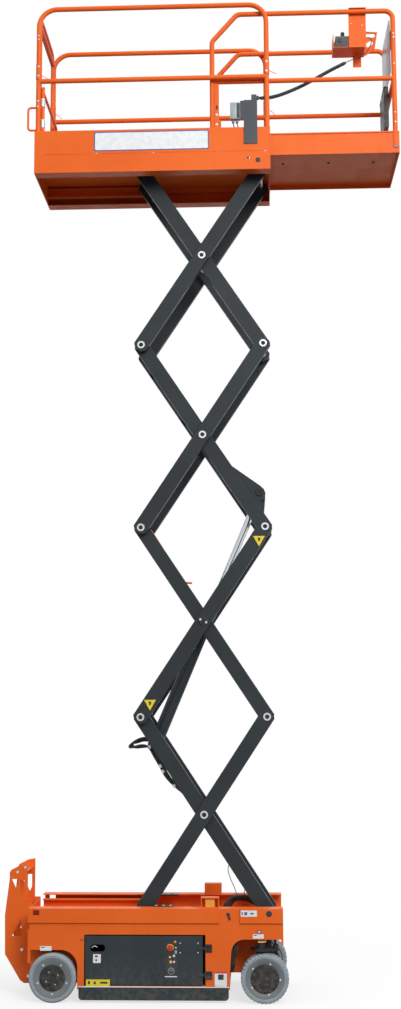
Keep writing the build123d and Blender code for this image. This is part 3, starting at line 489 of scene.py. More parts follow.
class Workbench:
    """Blender's own mesh tools, one piece at a time, with sizes in metres."""

    def __init__(self, palette: Palette) -> None:
        """Keeps the palette that finished pieces are painted from.

        Args:
            palette: the machine's finishes.
        """
        self.palette = palette

    @staticmethod
    def clear() -> None:
        """Leaves edit mode and deselects everything."""
        if bpy.context.object and bpy.context.object.mode != "OBJECT":
            bpy.ops.object.mode_set(mode="OBJECT")
        bpy.ops.object.select_all(action="DESELECT")

    def only(self, piece: bpy.types.Object) -> None:
        """Selects one piece alone and makes it active."""
        self.clear()
        piece.select_set(True)
        bpy.context.view_layer.objects.active = piece

    @staticmethod
    def shown(name: str, data: bpy.types.ID) -> bpy.types.Object:
        """Makes an object of a mesh, curve, lamp or camera, and puts it in the scene."""
        item = bpy.data.objects.new(name, data)
        bpy.context.scene.collection.objects.link(item)
        return item

    @staticmethod
    def closed(merge: float = 0.0) -> None:
        """Leaves edit mode with every face turned outwards, and near points merged where asked."""
        bpy.ops.mesh.select_all(action="SELECT")
        if merge > 0:
            bpy.ops.mesh.remove_doubles(threshold=merge)
        bpy.ops.mesh.normals_make_consistent(inside=False)
        bpy.ops.object.mode_set(mode="OBJECT")

    def lay(self, piece: bpy.types.Object, name: str, place: Matrix, smooth: float = 35.0) -> bpy.types.Object:
        """Puts a piece in place, leaves its object at the origin and shades it.

        Args:
            piece: the finished piece, made at the origin.
            name: its name.
            place: where it goes.
            smooth: the angle in degrees under which faces blend.

        Returns:
            The piece.
        """
        self.only(piece)
        piece.name = piece.data.name = name
        piece.matrix_world = place
        bpy.ops.object.transform_apply(location=True, rotation=True, scale=True)
        bpy.ops.object.shade_smooth_by_angle(angle=math.radians(smooth))
        return piece

    def rounded(self, piece: bpy.types.Object, width: float, steps: int = 2) -> bpy.types.Object:
        """Bevels a piece's sharp edges with a modifier and applies it.

        Args:
            piece: the piece to finish.
            width: the bevel in metres; 0 leaves the piece alone.
            steps: how many faces round each edge.

        Returns:
            The piece.
        """
        if width > 0:
            self.only(piece)
            bevel = piece.modifiers.new("edge", "BEVEL")
            bevel.width = width
            bevel.segments = steps
            bevel.limit_method = "ANGLE"
            bpy.ops.object.modifier_apply(modifier=bevel.name)
        return piece

    def slab(self, name: str, low: Point, high: Point, edge: float = 0.0012, steps: int = 2) -> bpy.types.Object:
        """Makes a box between two corners, with its edges rounded.

        Args:
            name: the piece's name.
            low: its lowest corner.
            high: its highest corner.
            edge: the rounding of its edges.
            steps: faces in each rounding.

        Returns:
            The piece.
        """
        self.clear()
        bpy.ops.mesh.primitive_cube_add(size=1.0)
        piece = bpy.context.object
        piece.scale = [b - a for a, b in zip(low, high)]
        bpy.ops.object.transform_apply(location=False, rotation=False, scale=True)
        self.rounded(piece, edge, steps)
        centre = [(a + b) / 2 for a, b in zip(low, high)]
        return self.lay(piece, name, Matrix.Translation(centre))

    def sheet(self, name: str, outline: Profile, y_span: Tuple[float, float], edge: float = 0.001) -> bpy.types.Object:
        """Makes an upright plate from an outline in X and Z.

        Args:
            name: the piece's name.
            outline: its corners as (x, z).
            y_span: its two faces.
            edge: the rounding of its edges.

        Returns:
            The piece.
        """
        self.clear()
        bpy.ops.mesh.primitive_circle_add(vertices=len(outline), radius=1.0, fill_type="NGON")
        piece = bpy.context.object
        for vertex, (x, z) in zip(piece.data.vertices, outline):
            vertex.co = (x, y_span[0], z)
        bpy.ops.object.mode_set(mode="EDIT")
        bpy.ops.mesh.select_all(action="SELECT")
        bpy.ops.mesh.extrude_region_move(TRANSFORM_OT_translate={"value": (0, y_span[1] - y_span[0], 0)})
        self.closed()
        self.rounded(piece, edge)
        return self.lay(piece, name, Matrix.Identity(4))

    def turned(self, name: str, foot: Point, facing: Facing, profile: Profile, sides: int = 36) -> bpy.types.Object:
        """Makes a round fitting by extruding and scaling a disc, step by step.

        Args:
            name: the piece's name.
            foot: the middle of its back.
            facing: the way that it looks.
            profile: (radius, height above the foot) of each step.
            sides: flats round it.

        Returns:
            The piece.
        """
        self.clear()
        radius, height = profile[0]
        bpy.ops.mesh.primitive_circle_add(vertices=sides, radius=radius, fill_type="NGON", location=(0, 0, height))
        piece = bpy.context.object
        bpy.ops.object.transform_apply(location=True)
        bpy.ops.object.mode_set(mode="EDIT")
        bpy.ops.mesh.select_all(action="SELECT")
        for next_radius, next_height in profile[1:]:
            bpy.ops.mesh.extrude_region_move(TRANSFORM_OT_translate={"value": (0, 0, next_height - height)})
            share = next_radius / radius
            bpy.ops.transform.resize(value=(share, share, 1.0), center_override=(0, 0, next_height))
            radius, height = next_radius, next_height
        self.closed()
        return self.lay(piece, name, Matrix.Translation(foot) @ facing.turn(), ROUND_SMOOTH)

    def spun(self, name: str, foot: Point, facing: Facing, section: Profile, steps: int = 72) -> bpy.types.Object:
        """Makes a ring by spinning a closed section.

        Args:
            name: the piece's name.
            foot: the middle of its back.
            facing: the way that it looks.
            section: (radius, height) of each corner of the section.
            steps: how many steps the spin takes.

        Returns:
            The piece.
        """
        self.clear()
        bpy.ops.mesh.primitive_circle_add(vertices=len(section), radius=1.0, fill_type="NOTHING")
        piece = bpy.context.object
        for vertex, (radius, height) in zip(piece.data.vertices, section):
            vertex.co = (radius, 0.0, height)
        bpy.ops.object.mode_set(mode="EDIT")
        bpy.ops.mesh.select_all(action="SELECT")
        bpy.ops.mesh.spin(steps=steps, angle=math.tau, center=(0, 0, 0), axis=(0, 0, 1))
        self.closed(merge=0.00001)
        return self.lay(piece, name, Matrix.Translation(foot) @ facing.turn(), ROUND_SMOOTH)

    def route(self, points: Sequence[Point]) -> List[Vector]:
        """Follows a smooth curve through a route's control points.

        Args:
            points: the control points.

        Returns:
            Close points along the curve.
        """
        curve = self.curve("route", points, 0.0)
        line = bpy.data.meshes.new_from_object(curve)
        found = [vertex.co.copy() for vertex in line.vertices]
        bpy.data.meshes.remove(line)
        bpy.data.objects.remove(curve)
        return found

    @staticmethod
    def curve(name: str, points: Sequence[Point], radius: float) -> bpy.types.Object:
        """Makes a NURBS curve of one open spline.

        Args:
            name: the curve's name.
            points: its control points.
            radius: its thickness; 0 for a bare line.

        Returns:
            The curve object.
        """
        data = bpy.data.curves.new(name, "CURVE")
        data.dimensions = "3D"
        data.resolution_u = 6
        data.bevel_depth = radius
        data.bevel_resolution = 3
        data.use_fill_caps = radius > 0
        spline = data.splines.new("NURBS")
        spline.points.add(len(points) - 1)
        for point, place in zip(spline.points, points):
            point.co = (*place, 1.0)
        spline.order_u = 3
        spline.use_endpoint_u = True
        return Workbench.shown(name, data)

    def wire(self, name: str, points: Sequence[Point], radius: float) -> bpy.types.Object:
        """Makes a round wire or pipe along a smooth route, as a mesh.

        Args:
            name: the piece's name.
            points: the route's control points.
            radius: the wire's radius.

        Returns:
            The piece.
        """
        return self.meshed(self.curve(name, points, radius), name, 50.0)

    def meshed(self, curve: bpy.types.Object, name: str, smooth: float) -> bpy.types.Object:
        """Turns a curve into a mesh that keeps its place.

        Args:
            curve: the curve.
            name: the piece's name.
            smooth: the angle in degrees under which faces blend.

        Returns:
            The piece.
        """
        self.only(curve)
        bpy.ops.object.convert(target="MESH")
        return self.lay(bpy.context.object, name, Matrix.Identity(4), smooth)

    def repeated(self, pattern: bpy.types.Object, places: Sequence[Matrix], name: str) -> bpy.types.Object:
        """Copies a pattern made at the origin to each place and joins the copies.

        Args:
            pattern: the piece to copy; it is used up.
            places: where each copy goes.
            name: the joined piece's name.

        Returns:
            The joined piece.
        """
        copies = []
        for place in places:
            copy = self.shown(name, pattern.data.copy())
            copy.matrix_world = place
            copies.append(copy)
        self.clear()
        bpy.data.objects.remove(pattern)
        for copy in copies:
            copy.select_set(True)
        bpy.context.view_layer.objects.active = copies[0]
        bpy.ops.object.transform_apply(location=True, rotation=True, scale=True)
        if len(copies) > 1:
            bpy.ops.object.join()
        piece = bpy.context.object
        piece.name = piece.data.name = name
        return piece

    def bolts(self, name: str, spots: Sequence[Point], facing: Facing, size: float) -> bpy.types.Object:
        """Makes hexagon bolt heads on washers.

        Args:
            name: the joined piece's name.
            spots: the middle of each washer's back.
            facing: the way that the heads look.
            size: the head's radius across corners.

        Returns:
            The joined piece.
        """
        washer = self.turned("washer", (0, 0, 0), Facing.UP, [
            (size * 1.35, 0.0), (size * 1.35, size * 0.18), (size * 1.25, size * 0.25), (size * 0.9, size * 0.25),
        ], 24)
        head = self.turned("head", (0, 0, 0), Facing.UP, [
            (size, size * 0.2), (size, size * 0.75), (size * 0.86, size * 0.9), (size * 0.5, size * 0.9),
        ], 6)
        self.clear()
        washer.select_set(True)
        head.select_set(True)
        bpy.context.view_layer.objects.active = washer
        bpy.ops.object.join()
        return self.repeated(bpy.context.object, self.stands(spots, facing), name)

    def screws(self, name: str, spots: Sequence[Point], facing: Facing, size: float) -> bpy.types.Object:
        """Makes low dome screw heads with a socket.

        Args:
            name: the joined piece's name.
            spots: the middle of each head's back.
            facing: the way that the heads look.
            size: the head's radius.

        Returns:
            The joined piece.
        """
        head = self.turned("head", (0, 0, 0), Facing.UP, [
            (size, 0.0), (size, size * 0.2), (size * 0.8, size * 0.5), (size * 0.45, size * 0.6),
            (size * 0.4, size * 0.2),
        ], 18)
        return self.repeated(head, self.stands(spots, facing), name)

    @staticmethod
    def stands(spots: Sequence[Point], facing: Facing) -> List[Matrix]:
        """Gives the place of each copy of a fitting that looks one way."""
        return [Matrix.Translation(spot) @ facing.turn() for spot in spots]

    def paint(self, piece: bpy.types.Object, finish: str) -> None:
        """Gives a piece one finish in place of what it had."""
        piece.data.materials.clear()
        piece.data.materials.append(self.palette.get(finish))

    def done(self, piece: bpy.types.Object, finish: str, body: str) -> bpy.types.Object:
        """Paints a piece and lets it ride on its body.

        Args:
            piece: the finished piece.
            finish: the name of its finish.
            body: the body that carries it.

        Returns:
            The piece.
        """
        self.paint(piece, finish)
        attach(piece, body)
        log.info("%s on %s in %s", piece.name, body, finish)
        return piece

    def bolted(self, name: str, spots: Sequence[Point], facing: Facing, size: float, body: str) -> None:
        """Makes plated bolt heads that ride on a body; the arguments are those of bolts."""
        self.done(self.bolts(name, spots, facing, size), "zinc_plate", body)

    def screwed(self, name: str, spots: Sequence[Point], facing: Facing, size: float, body: str) -> None:
        """Makes plated screw heads that ride on a body; the arguments are those of screws."""
        self.done(self.screws(name, spots, facing, size), "zinc_plate", body)


def mm(*values: float) -> Tuple[float, ...]:
    """Turns millimetres into metres."""
    return tuple(value / 1000.0 for value in values)


# --- studio ---------------------------------------------------------------------


@dataclass(frozen=True)
class Studio:
    """A camera far off the right side, a soft sky, one wide lamp and a plain floor."""

    stand: Point = (0.336, -9.524, 2.007)
    yaw: float = -2.347
    pitch: float = 7.902
    roll: float = -0.248
    lens: float = 48.29
    key_place: Point = (4.5, -9.5, 9.0)
    key_aim: Point = (0.0, 0.0, 3.2)
    key_size: float = 6.0
    key_power: float = 1020.0
    floor_size: float = 60.0
    shadow_reach: Tuple[float, float] = (1.2, 3.4)

    def camera(self) -> None:
        """Sets the camera up."""
        data = bpy.data.cameras.new("camera")
        data.lens = self.lens
        data.sensor_width = 36.0
        data.sensor_fit = "AUTO"
        data.clip_end = 200.0
        camera = Workbench.shown("camera", data)
        yaw, pitch, roll = (math.radians(angle) for angle in (self.yaw, self.pitch, self.roll))
        ahead = Vector((math.sin(yaw) * math.cos(pitch), math.cos(yaw) * math.cos(pitch), math.sin(pitch)))
        level = Vector((math.cos(yaw), -math.sin(yaw), 0.0))
        upright = level.cross(ahead)
        right = level * math.cos(roll) + upright * math.sin(roll)
        top = upright * math.cos(roll) - level * math.sin(roll)
        turn = Matrix((right, top, -ahead)).transposed().to_4x4()
        camera.matrix_world = Matrix.Translation(self.stand) @ turn
        bpy.context.scene.camera = camera
        bpy.context.scene.view_settings.view_transform = "Standard"

    @staticmethod
    def seen_rays(nodes: object, links: object) -> object:
        """Gives a mask that is 1 for camera, glossy and transmission rays, as a socket."""
        path = nodes.new("ShaderNodeLightPath")
        share = path.outputs["Is Camera Ray"]
        for ray in ("Is Glossy Ray", "Is Transmission Ray"):
            either = nodes.new("ShaderNodeMath")
            either.operation = "MAXIMUM"
            links.new(share, either.inputs[0])
            links.new(path.outputs[ray], either.inputs[1])
            share = either.outputs[0]
        return share

    def sky(self) -> None:
        """Lights the machine from a pale sky that seen rays find white."""
        world = bpy.data.worlds.new("sky")
        bpy.context.scene.world = world
        world.use_nodes = True
        nodes, links = world.node_tree.nodes, world.node_tree.links
        nodes.clear()
        output = nodes.new("ShaderNodeOutputWorld")
        seen, lit = nodes.new("ShaderNodeBackground"), nodes.new("ShaderNodeBackground")
        seen.inputs["Color"].default_value = (1.0, 1.0, 1.0, 1.0)
        split = nodes.new("ShaderNodeSeparateXYZ")
        links.new(nodes.new("ShaderNodeTexCoord").outputs["Generated"], split.inputs[0])
        rise = nodes.new("ShaderNodeMapRange")
        links.new(split.outputs["Z"], rise.inputs["Value"])
        for name, value in (("From Min", -0.1), ("From Max", 0.3), ("To Min", 0.05), ("To Max", 0.86)):
            rise.inputs[name].default_value = value
        lit.inputs["Color"].default_value = (0.95, 0.98, 1.0, 1.0)
        links.new(rise.outputs[0], lit.inputs["Strength"])
        mix = nodes.new("ShaderNodeMixShader")
        links.new(self.seen_rays(nodes, links), mix.inputs[0])
        links.new(lit.outputs[0], mix.inputs[1])
        links.new(seen.outputs[0], mix.inputs[2])
        links.new(mix.outputs[0], output.inputs[0])

    def lamp(self) -> None:
        """Sets up the one wide lamp."""
        data = bpy.data.lights.new("key", "AREA")
        data.shape = "DISK"
        data.size = self.key_size
        data.energy = self.key_power
        lamp = Workbench.shown("key", data)
        lamp.location = self.key_place
        lamp.rotation_euler = (Vector(self.key_aim) - Vector(self.key_place)).to_track_quat("-Z", "Y").to_euler()

    def floor(self) -> None:
        """Lays a pale floor that keeps the machine's shadow and fades to white far off."""
        bpy.ops.object.select_all(action="DESELECT")
        bpy.ops.mesh.primitive_plane_add(size=self.floor_size)
        floor = bpy.context.object
        floor.name = "floor"
        brush = Brush("pale_floor")
        nodes, links = brush.nodes, brush.links
        speck = brush.span(brush.noise(3.0, 4.0), 0.3, 0.7, 0.0, 0.5)
        seen = self.seen_rays(nodes, links)
        pale = brush.blend(speck, (0.9, 0.9, 0.9), (0.86, 0.86, 0.86))
        brush.feed(brush.blend(seen, (0.16, 0.16, 0.16), pale), "Base Color")
        brush.feed(brush.span(brush.noise(20.0), 0.3, 0.7, 0.75, 0.85), "Roughness")
        brush.relief(brush.noise(60.0), 0.0002)
        brush.fixed(Specular_IOR_Level=0.05)
        glow = nodes.new("ShaderNodeEmission")
        away = nodes.new("ShaderNodeVectorMath")
        away.operation = "LENGTH"
        links.new(brush.place, away.inputs[0])
        share = brush.math("MULTIPLY", seen, brush.span(away.outputs["Value"], *self.shadow_reach, 0.7, 1.0))
        mix = nodes.new("ShaderNodeMixShader")
        links.new(share, mix.inputs[0])
        links.new(brush.shader.outputs[0], mix.inputs[1])
        links.new(glow.outputs[0], mix.inputs[2])
        links.new(mix.outputs[0], brush.output.inputs[0])
        floor.data.materials.append(brush.material)

    def build(self) -> None:
        """Builds the camera, the sky, the lamp and the floor."""
        self.camera()
        self.sky()
        self.lamp()
        self.floor()


# --- control cord ---------------------------------------------------------------


@dataclass(frozen=True)
class ControlCord:
    """The curly cord from the junction box to the upper controls, and its straight lead."""

    curl: Tuple[Point, ...] = (
        (0.384, -0.345, 6.207), (0.440, -0.315, 6.216), (0.520, -0.290, 6.243), (0.600, -0.272, 6.280),
        (0.690, -0.258, 6.325), (0.780, -0.246, 6.378), (0.870, -0.236, 6.434), (0.950, -0.228, 6.481),
        (1.030, -0.220, 6.523),
    )
    lead: Tuple[Point, ...] = (
        (1.030, -0.220, 6.523), (1.094, -0.2136, 6.5566), (1.168, -0.205, 6.592), (1.196, -0.202, 6.636),
        (1.212, -0.200, 6.680), (1.208, -0.200, 6.712), (1.184, -0.200, 6.720), (1.161, -0.200, 6.712),
    )
    cable_radius: float = 0.003
    coil_radius: float = 0.0103
    pitch: float = 0.0076
    steps: int = 14
    taper: float = 0.03

    def helix(self, line: List[Vector]) -> List[Vector]:
        """Winds the cable round a centre line.

        Args:
            line: close points along the centre line.

        Returns:
            The cable's own points, tapering to the line at both ends.
        """
        lengths = [0.0]
        for first, second in zip(line, line[1:]):
            lengths.append(lengths[-1] + (second - first).length)
        whole = lengths[-1]
        turns = round((whole - 2 * self.taper) / self.pitch)
        count = turns * self.steps
        side = Vector((0.0, 0.0, 1.0))
        wound, segment = [], 0
        for step in range(count + 1):
            share = step / count
            at = self.taper * 0.3 + share * (whole - 0.6 * self.taper)
            while segment < len(line) - 2 and lengths[segment + 1] < at:
                segment += 1
            ahead = (line[segment + 1] - line[segment]).normalized()
            part = (at - lengths[segment]) / max(1e-9, lengths[segment + 1] - lengths[segment])
            centre = line[segment].lerp(line[segment + 1], part)
            side = (side - ahead * side.dot(ahead)).normalized()
            over = ahead.cross(side)
            angle = math.tau * turns * share
            swell = min(1.0, at / self.taper, (whole - at) / self.taper)
            reach = self.coil_radius * math.sqrt(max(0.0, swell))
            wound.append(centre + (side * math.cos(angle) + over * math.sin(angle)) * reach)
        return [line[0], *wound, line[-1]]

    def build(self, bench: Workbench) -> None:
        """Builds the cord as one tube that leaves the platform and ends at the console.

        Args:
            bench: the tools that it is made with.
        """
        points = self.helix(bench.route(self.curl)) + bench.route(self.lead)[1:]
        data = bpy.data.curves.new("control_cord", "CURVE")
        data.dimensions = "3D"
        data.bevel_depth = self.cable_radius
        data.bevel_resolution = 2
        data.use_fill_caps = True
        spline = data.splines.new("POLY")
        spline.points.add(len(points) - 1)
        for point, place in zip(spline.points, points):
            point.co = (*place, 1.0)
        cord = bench.meshed(bench.shown("control_cord", data), "control_cord", 60.0)
        bench.paint(cord, "cord_jacket")
        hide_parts("control_cord_curl", "control_cord_lead")
        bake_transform(cord)


# --- finishes on the solids -----------------------------------------------------


class SolidFinishes:
    """Paints every solid of the frame with the finish of its part."""

    FAMILIES = {
        "orange_powder_coat": (
            "chassis_frame", "rear_ladder", "scissor_base", "beacon_guard", "main_rails", "entry_gate", "roll_rails",
            "front_axle_beam", "control_guard",
        ),
        "orange_deck_coat": ("platform_deck", "roll_deck"),
        "black_running_gear": ("knuckle", "rear_axle", "tie_rod", "door_hinges"),
        "door_coat": ("pothole_guard", "door_right", "door_left"),
        "black_plastic": ("ground_panel", "document_box"),
        "chrome_rod": ("lift_rod",),
        "bracket_coat": ("junction_bracket",),
        "grey_plastic": ("junction_box",),
        "console_plastic": ("control_console",),
        "battery_case": ("battery_block",),
        "amber_lens": ("beacon_lens",),
        "grey_tyre": ("tyre",),
        "rim_coat": ("rim",),
        "zinc_plate": ("arm_pins",),
    }

    def finish_of(self, node: str) -> str:
        """Gives the name of a node's finish, from how the node's name starts."""
        for finish, starts in self.FAMILIES.items():
            if node.startswith(starts):
                return finish
        return "charcoal_powder_coat"

    def build(self, bench: Workbench, nodes: Dict[str, bpy.types.Object]) -> None:
        """Paints every node.

        Args:
            bench: the tools.
            nodes: the frame's solids by name.
        """
        for name, solid in nodes.items():
            finish = self.finish_of(name)
            bench.paint(solid, finish)
            log.info("solid %s in %s", name, finish)


# --- wheels ---------------------------------------------------------------------


@dataclass(frozen=True)
class WheelSet:
    """The road wheels' moulded tyres, rim bolts and hub covers."""

    rear_x: float = -1.025
    front_x: float = 0.367
    height: float = 0.1575
    outer_y: float = 0.378
    width: float = 0.100
    tyre_radius: float = 0.1575
    rim_radius: float = 0.114
    lip_radius: float = 0.1262
    lugs_round: int = 36
    lug_rows: Tuple[float, float] = (0.302, 0.354)
    lug_lean: float = 24.0
    rim_bolt_circle: float = 0.101
    rim_bolt_y: float = 0.372
    rim_edge_y: float = 0.369
    drum_y: float = 0.3595
    cover_y: float = 0.3625
    hub_screw_circle: float = 0.044
    hub_screw_y: float = 0.3752

    def ring_of(self, x: float, y: float, radius: float, count: int, first: float) -> List[Point]:
        """Gives evenly spaced places on a circle round an axle.

        Args:
            x: the axle's place along the machine.
            y: the places' distance across the machine.
            radius: the circle's radius.
            count: how many places.
            first: the angle of the first one, in radians.

        Returns:
            The places.
        """
        angles = [math.tau * index / count + first for index in range(count)]
        return [(x + radius * math.cos(angle), y, self.height + radius * math.sin(angle)) for angle in angles]

    def tyre(self, bench: Workbench, name: str, x: float, side: Side) -> None:
        """Makes one solid tyre with bands moulded into its walls, and lugs on a steered one.

        Args:
            bench: the tools.
            name: the wheel's name, front or rear.
            x: its axle's place.
            side: the side it stands on.
        """
        outer, width = self.tyre_radius, self.width
        bore, lip = self.rim_radius + 0.0001, self.lip_radius
        tread = outer - 0.0035 if name == "front" else outer
        half = [
            (bore, 0.010), (lip, 0.0098), (lip, 0.004), (lip + 0.003, 0.0012), (lip + 0.008, 0.0),
            (lip + 0.0095, 0.0022), (lip + 0.0135, 0.0022), (lip + 0.015, 0.0002), (outer - 0.011, 0.0008),
            (outer - 0.006, 0.004), (tread - 0.0015, 0.012), (tread, 0.022),
        ]
        section = half + [(radius, width - depth) for radius, depth in reversed(half)]
        inner_y = side.value * (self.outer_y - self.width)
        body = f"{name}_wheel_{side.word}"
        ring = bench.spun(f"tyre_{name}_{side.word}_moulded", (x, inner_y, self.height), side.facing, section, 96)
        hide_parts(f"tyre_{name}_{side.word}")
        bench.done(ring, "grey_tyre", body)
        if name == "front":
            self.lugs(bench, x, side, body)

    def lugs(self, bench: Workbench, x: float, side: Side, body: str) -> None:
        """Makes the leaning tread lugs of one steered wheel, in two staggered rows."""
        places = []
        axle = Matrix.Translation((x, 0.0, self.height))
        for index in range(self.lugs_round):
            for row, middle in enumerate(self.lug_rows):
                turn = Matrix.Rotation(math.tau * (index + row * 0.5) / self.lugs_round, 4, "Y")
                lean = Matrix.Rotation(math.radians(self.lug_lean) * (1 - 2 * row) * side.value, 4, "Z")
                out = Matrix.Translation((0, side.value * middle, self.tyre_radius - 0.0052))
                places.append(axle @ turn @ out @ lean)
        lug = bench.slab("lug", (-0.008, -0.023, -0.003), (0.008, 0.023, 0.0042), 0.0012, 1)
        joined = bench.repeated(lug, places, f"tyre_lugs_{side.word}")
        bench.done(joined, "grey_tyre", body)

    def rim(self, bench: Workbench, name: str, x: float, side: Side) -> None:
        """Makes the rolled edge and the ring of small bolts in one rim."""
        body = f"{name}_wheel_{side.word}"
        place = side.at(x, self.rim_edge_y, self.height)
        edge = bench.spun(f"rim_edge_{name}_{side.word}", place, side.facing, [
            (0.1090, 0.0), (0.1258, 0.0), (0.1258, 0.0078), (0.1242, 0.0086), (0.1222, 0.0086), (0.1205, 0.0074),
            (0.1120, 0.0070), (0.1090, 0.0060),
        ], 72)
        bench.done(edge, "rim_coat", body)
        first = 0.95 if name == "rear" else 1.2
        spots = self.ring_of(x, side.value * self.rim_bolt_y, self.rim_bolt_circle, 5, first)
        bench.bolted(f"rim_bolts_{name}_{side.word}", spots, side.facing, 0.0058, body)

    def rear_hub(self, bench: Workbench, side: Side) -> None:
        """Makes the rear hub's dark drum and its ring of screws."""
        body = f"rear_wheel_{side.word}"
        centre = side.at(self.rear_x, self.drum_y, self.height)
        drum = bench.spun(f"hub_drum_{side.word}", centre, side.facing, [
            (0.024, 0.0), (0.0845, 0.0), (0.0845, 0.0105), (0.0815, 0.0130), (0.060, 0.0135), (0.054, 0.0155),
            (0.034, 0.0165), (0.024, 0.0155),
        ], 56)
        bench.done(drum, "black_running_gear", body)
        spots = self.ring_of(self.rear_x, side.value * self.hub_screw_y, self.hub_screw_circle, 4, 0.5)
        bench.screwed(f"hub_screws_{side.word}", spots, side.facing, 0.0045, body)

    def front_cover(self, bench: Workbench, side: Side) -> None:
        """Makes the plain dished cover of one steered wheel."""
        centre = side.at(self.front_x, self.cover_y, self.height)
        cover = bench.turned(f"hub_cover_{side.word}", centre, side.facing, [
            (0.0925, 0.0), (0.0925, 0.0095), (0.0895, 0.0118), (0.080, 0.0128), (0.070, 0.0132), (0.020, 0.0128),
            (0.006, 0.0127),
        ], 56)
        bench.done(cover, "black_running_gear", f"front_wheel_{side.word}")

    def build(self, bench: Workbench) -> None:
        """Builds the dressing of all four wheels."""
        for side in Side:
            for name, x in (("rear", self.rear_x), ("front", self.front_x)):
                self.tyre(bench, name, x, side)
                self.rim(bench, name, x, side)
            self.rear_hub(bench, side)
            self.front_cover(bench, side)


# --- labels ---------------------------------------------------------------------


@dataclass(frozen=True)
class Label:
    """A blank printed film stuck on an upright face that looks left or right."""

    name: str
    body: str
    x_span: Tuple[float, float]
    z_span: Tuple[float, float]
    y: float
    finish: str = "white_film"
    side: Side = Side.RIGHT

    def build(self, bench: Workbench) -> None:
        """Builds the label, with rounded corners."""
        outline = []
        (left, right), (low, high) = self.x_span, self.z_span
        corner = min(right - left, high - low) * 0.08
        middles = ((right - corner, high - corner, 0), (left + corner, high - corner, 1),
                   (left + corner, low + corner, 2), (right - corner, low + corner, 3))
        for x, z, quarter in middles:
            for step in range(4):
                angle = math.pi / 2 * (quarter + step / 3)
                outline.append((x + corner * math.cos(angle), z + corner * math.sin(angle)))
        span = (self.y, self.y + self.side.value * FILM)
        bench.done(bench.sheet(self.name, outline, span, 0.0), self.finish, self.body)


LabelRow = Tuple[str, Tuple[float, float], Tuple[float, float], float, str]


def stick(bench: Workbench, body: str, side: Side, rows: Sequence[LabelRow]) -> None:
    """Sticks blank labels on one side of a body.

    Args:
        bench: the tools.
        body: the body that carries them.
        side: the side that they are on.
        rows: each label's name, X and Z spans in millimetres, distance from the middle in metres, and finish.
    """
    for name, x_span, z_span, reach, finish in rows:
        Label(f"{name}_{side.word}", body, mm(*x_span), mm(*z_span), side.value * reach, finish, side).build(bench)


# --- chassis --------------------------------------------------------------------


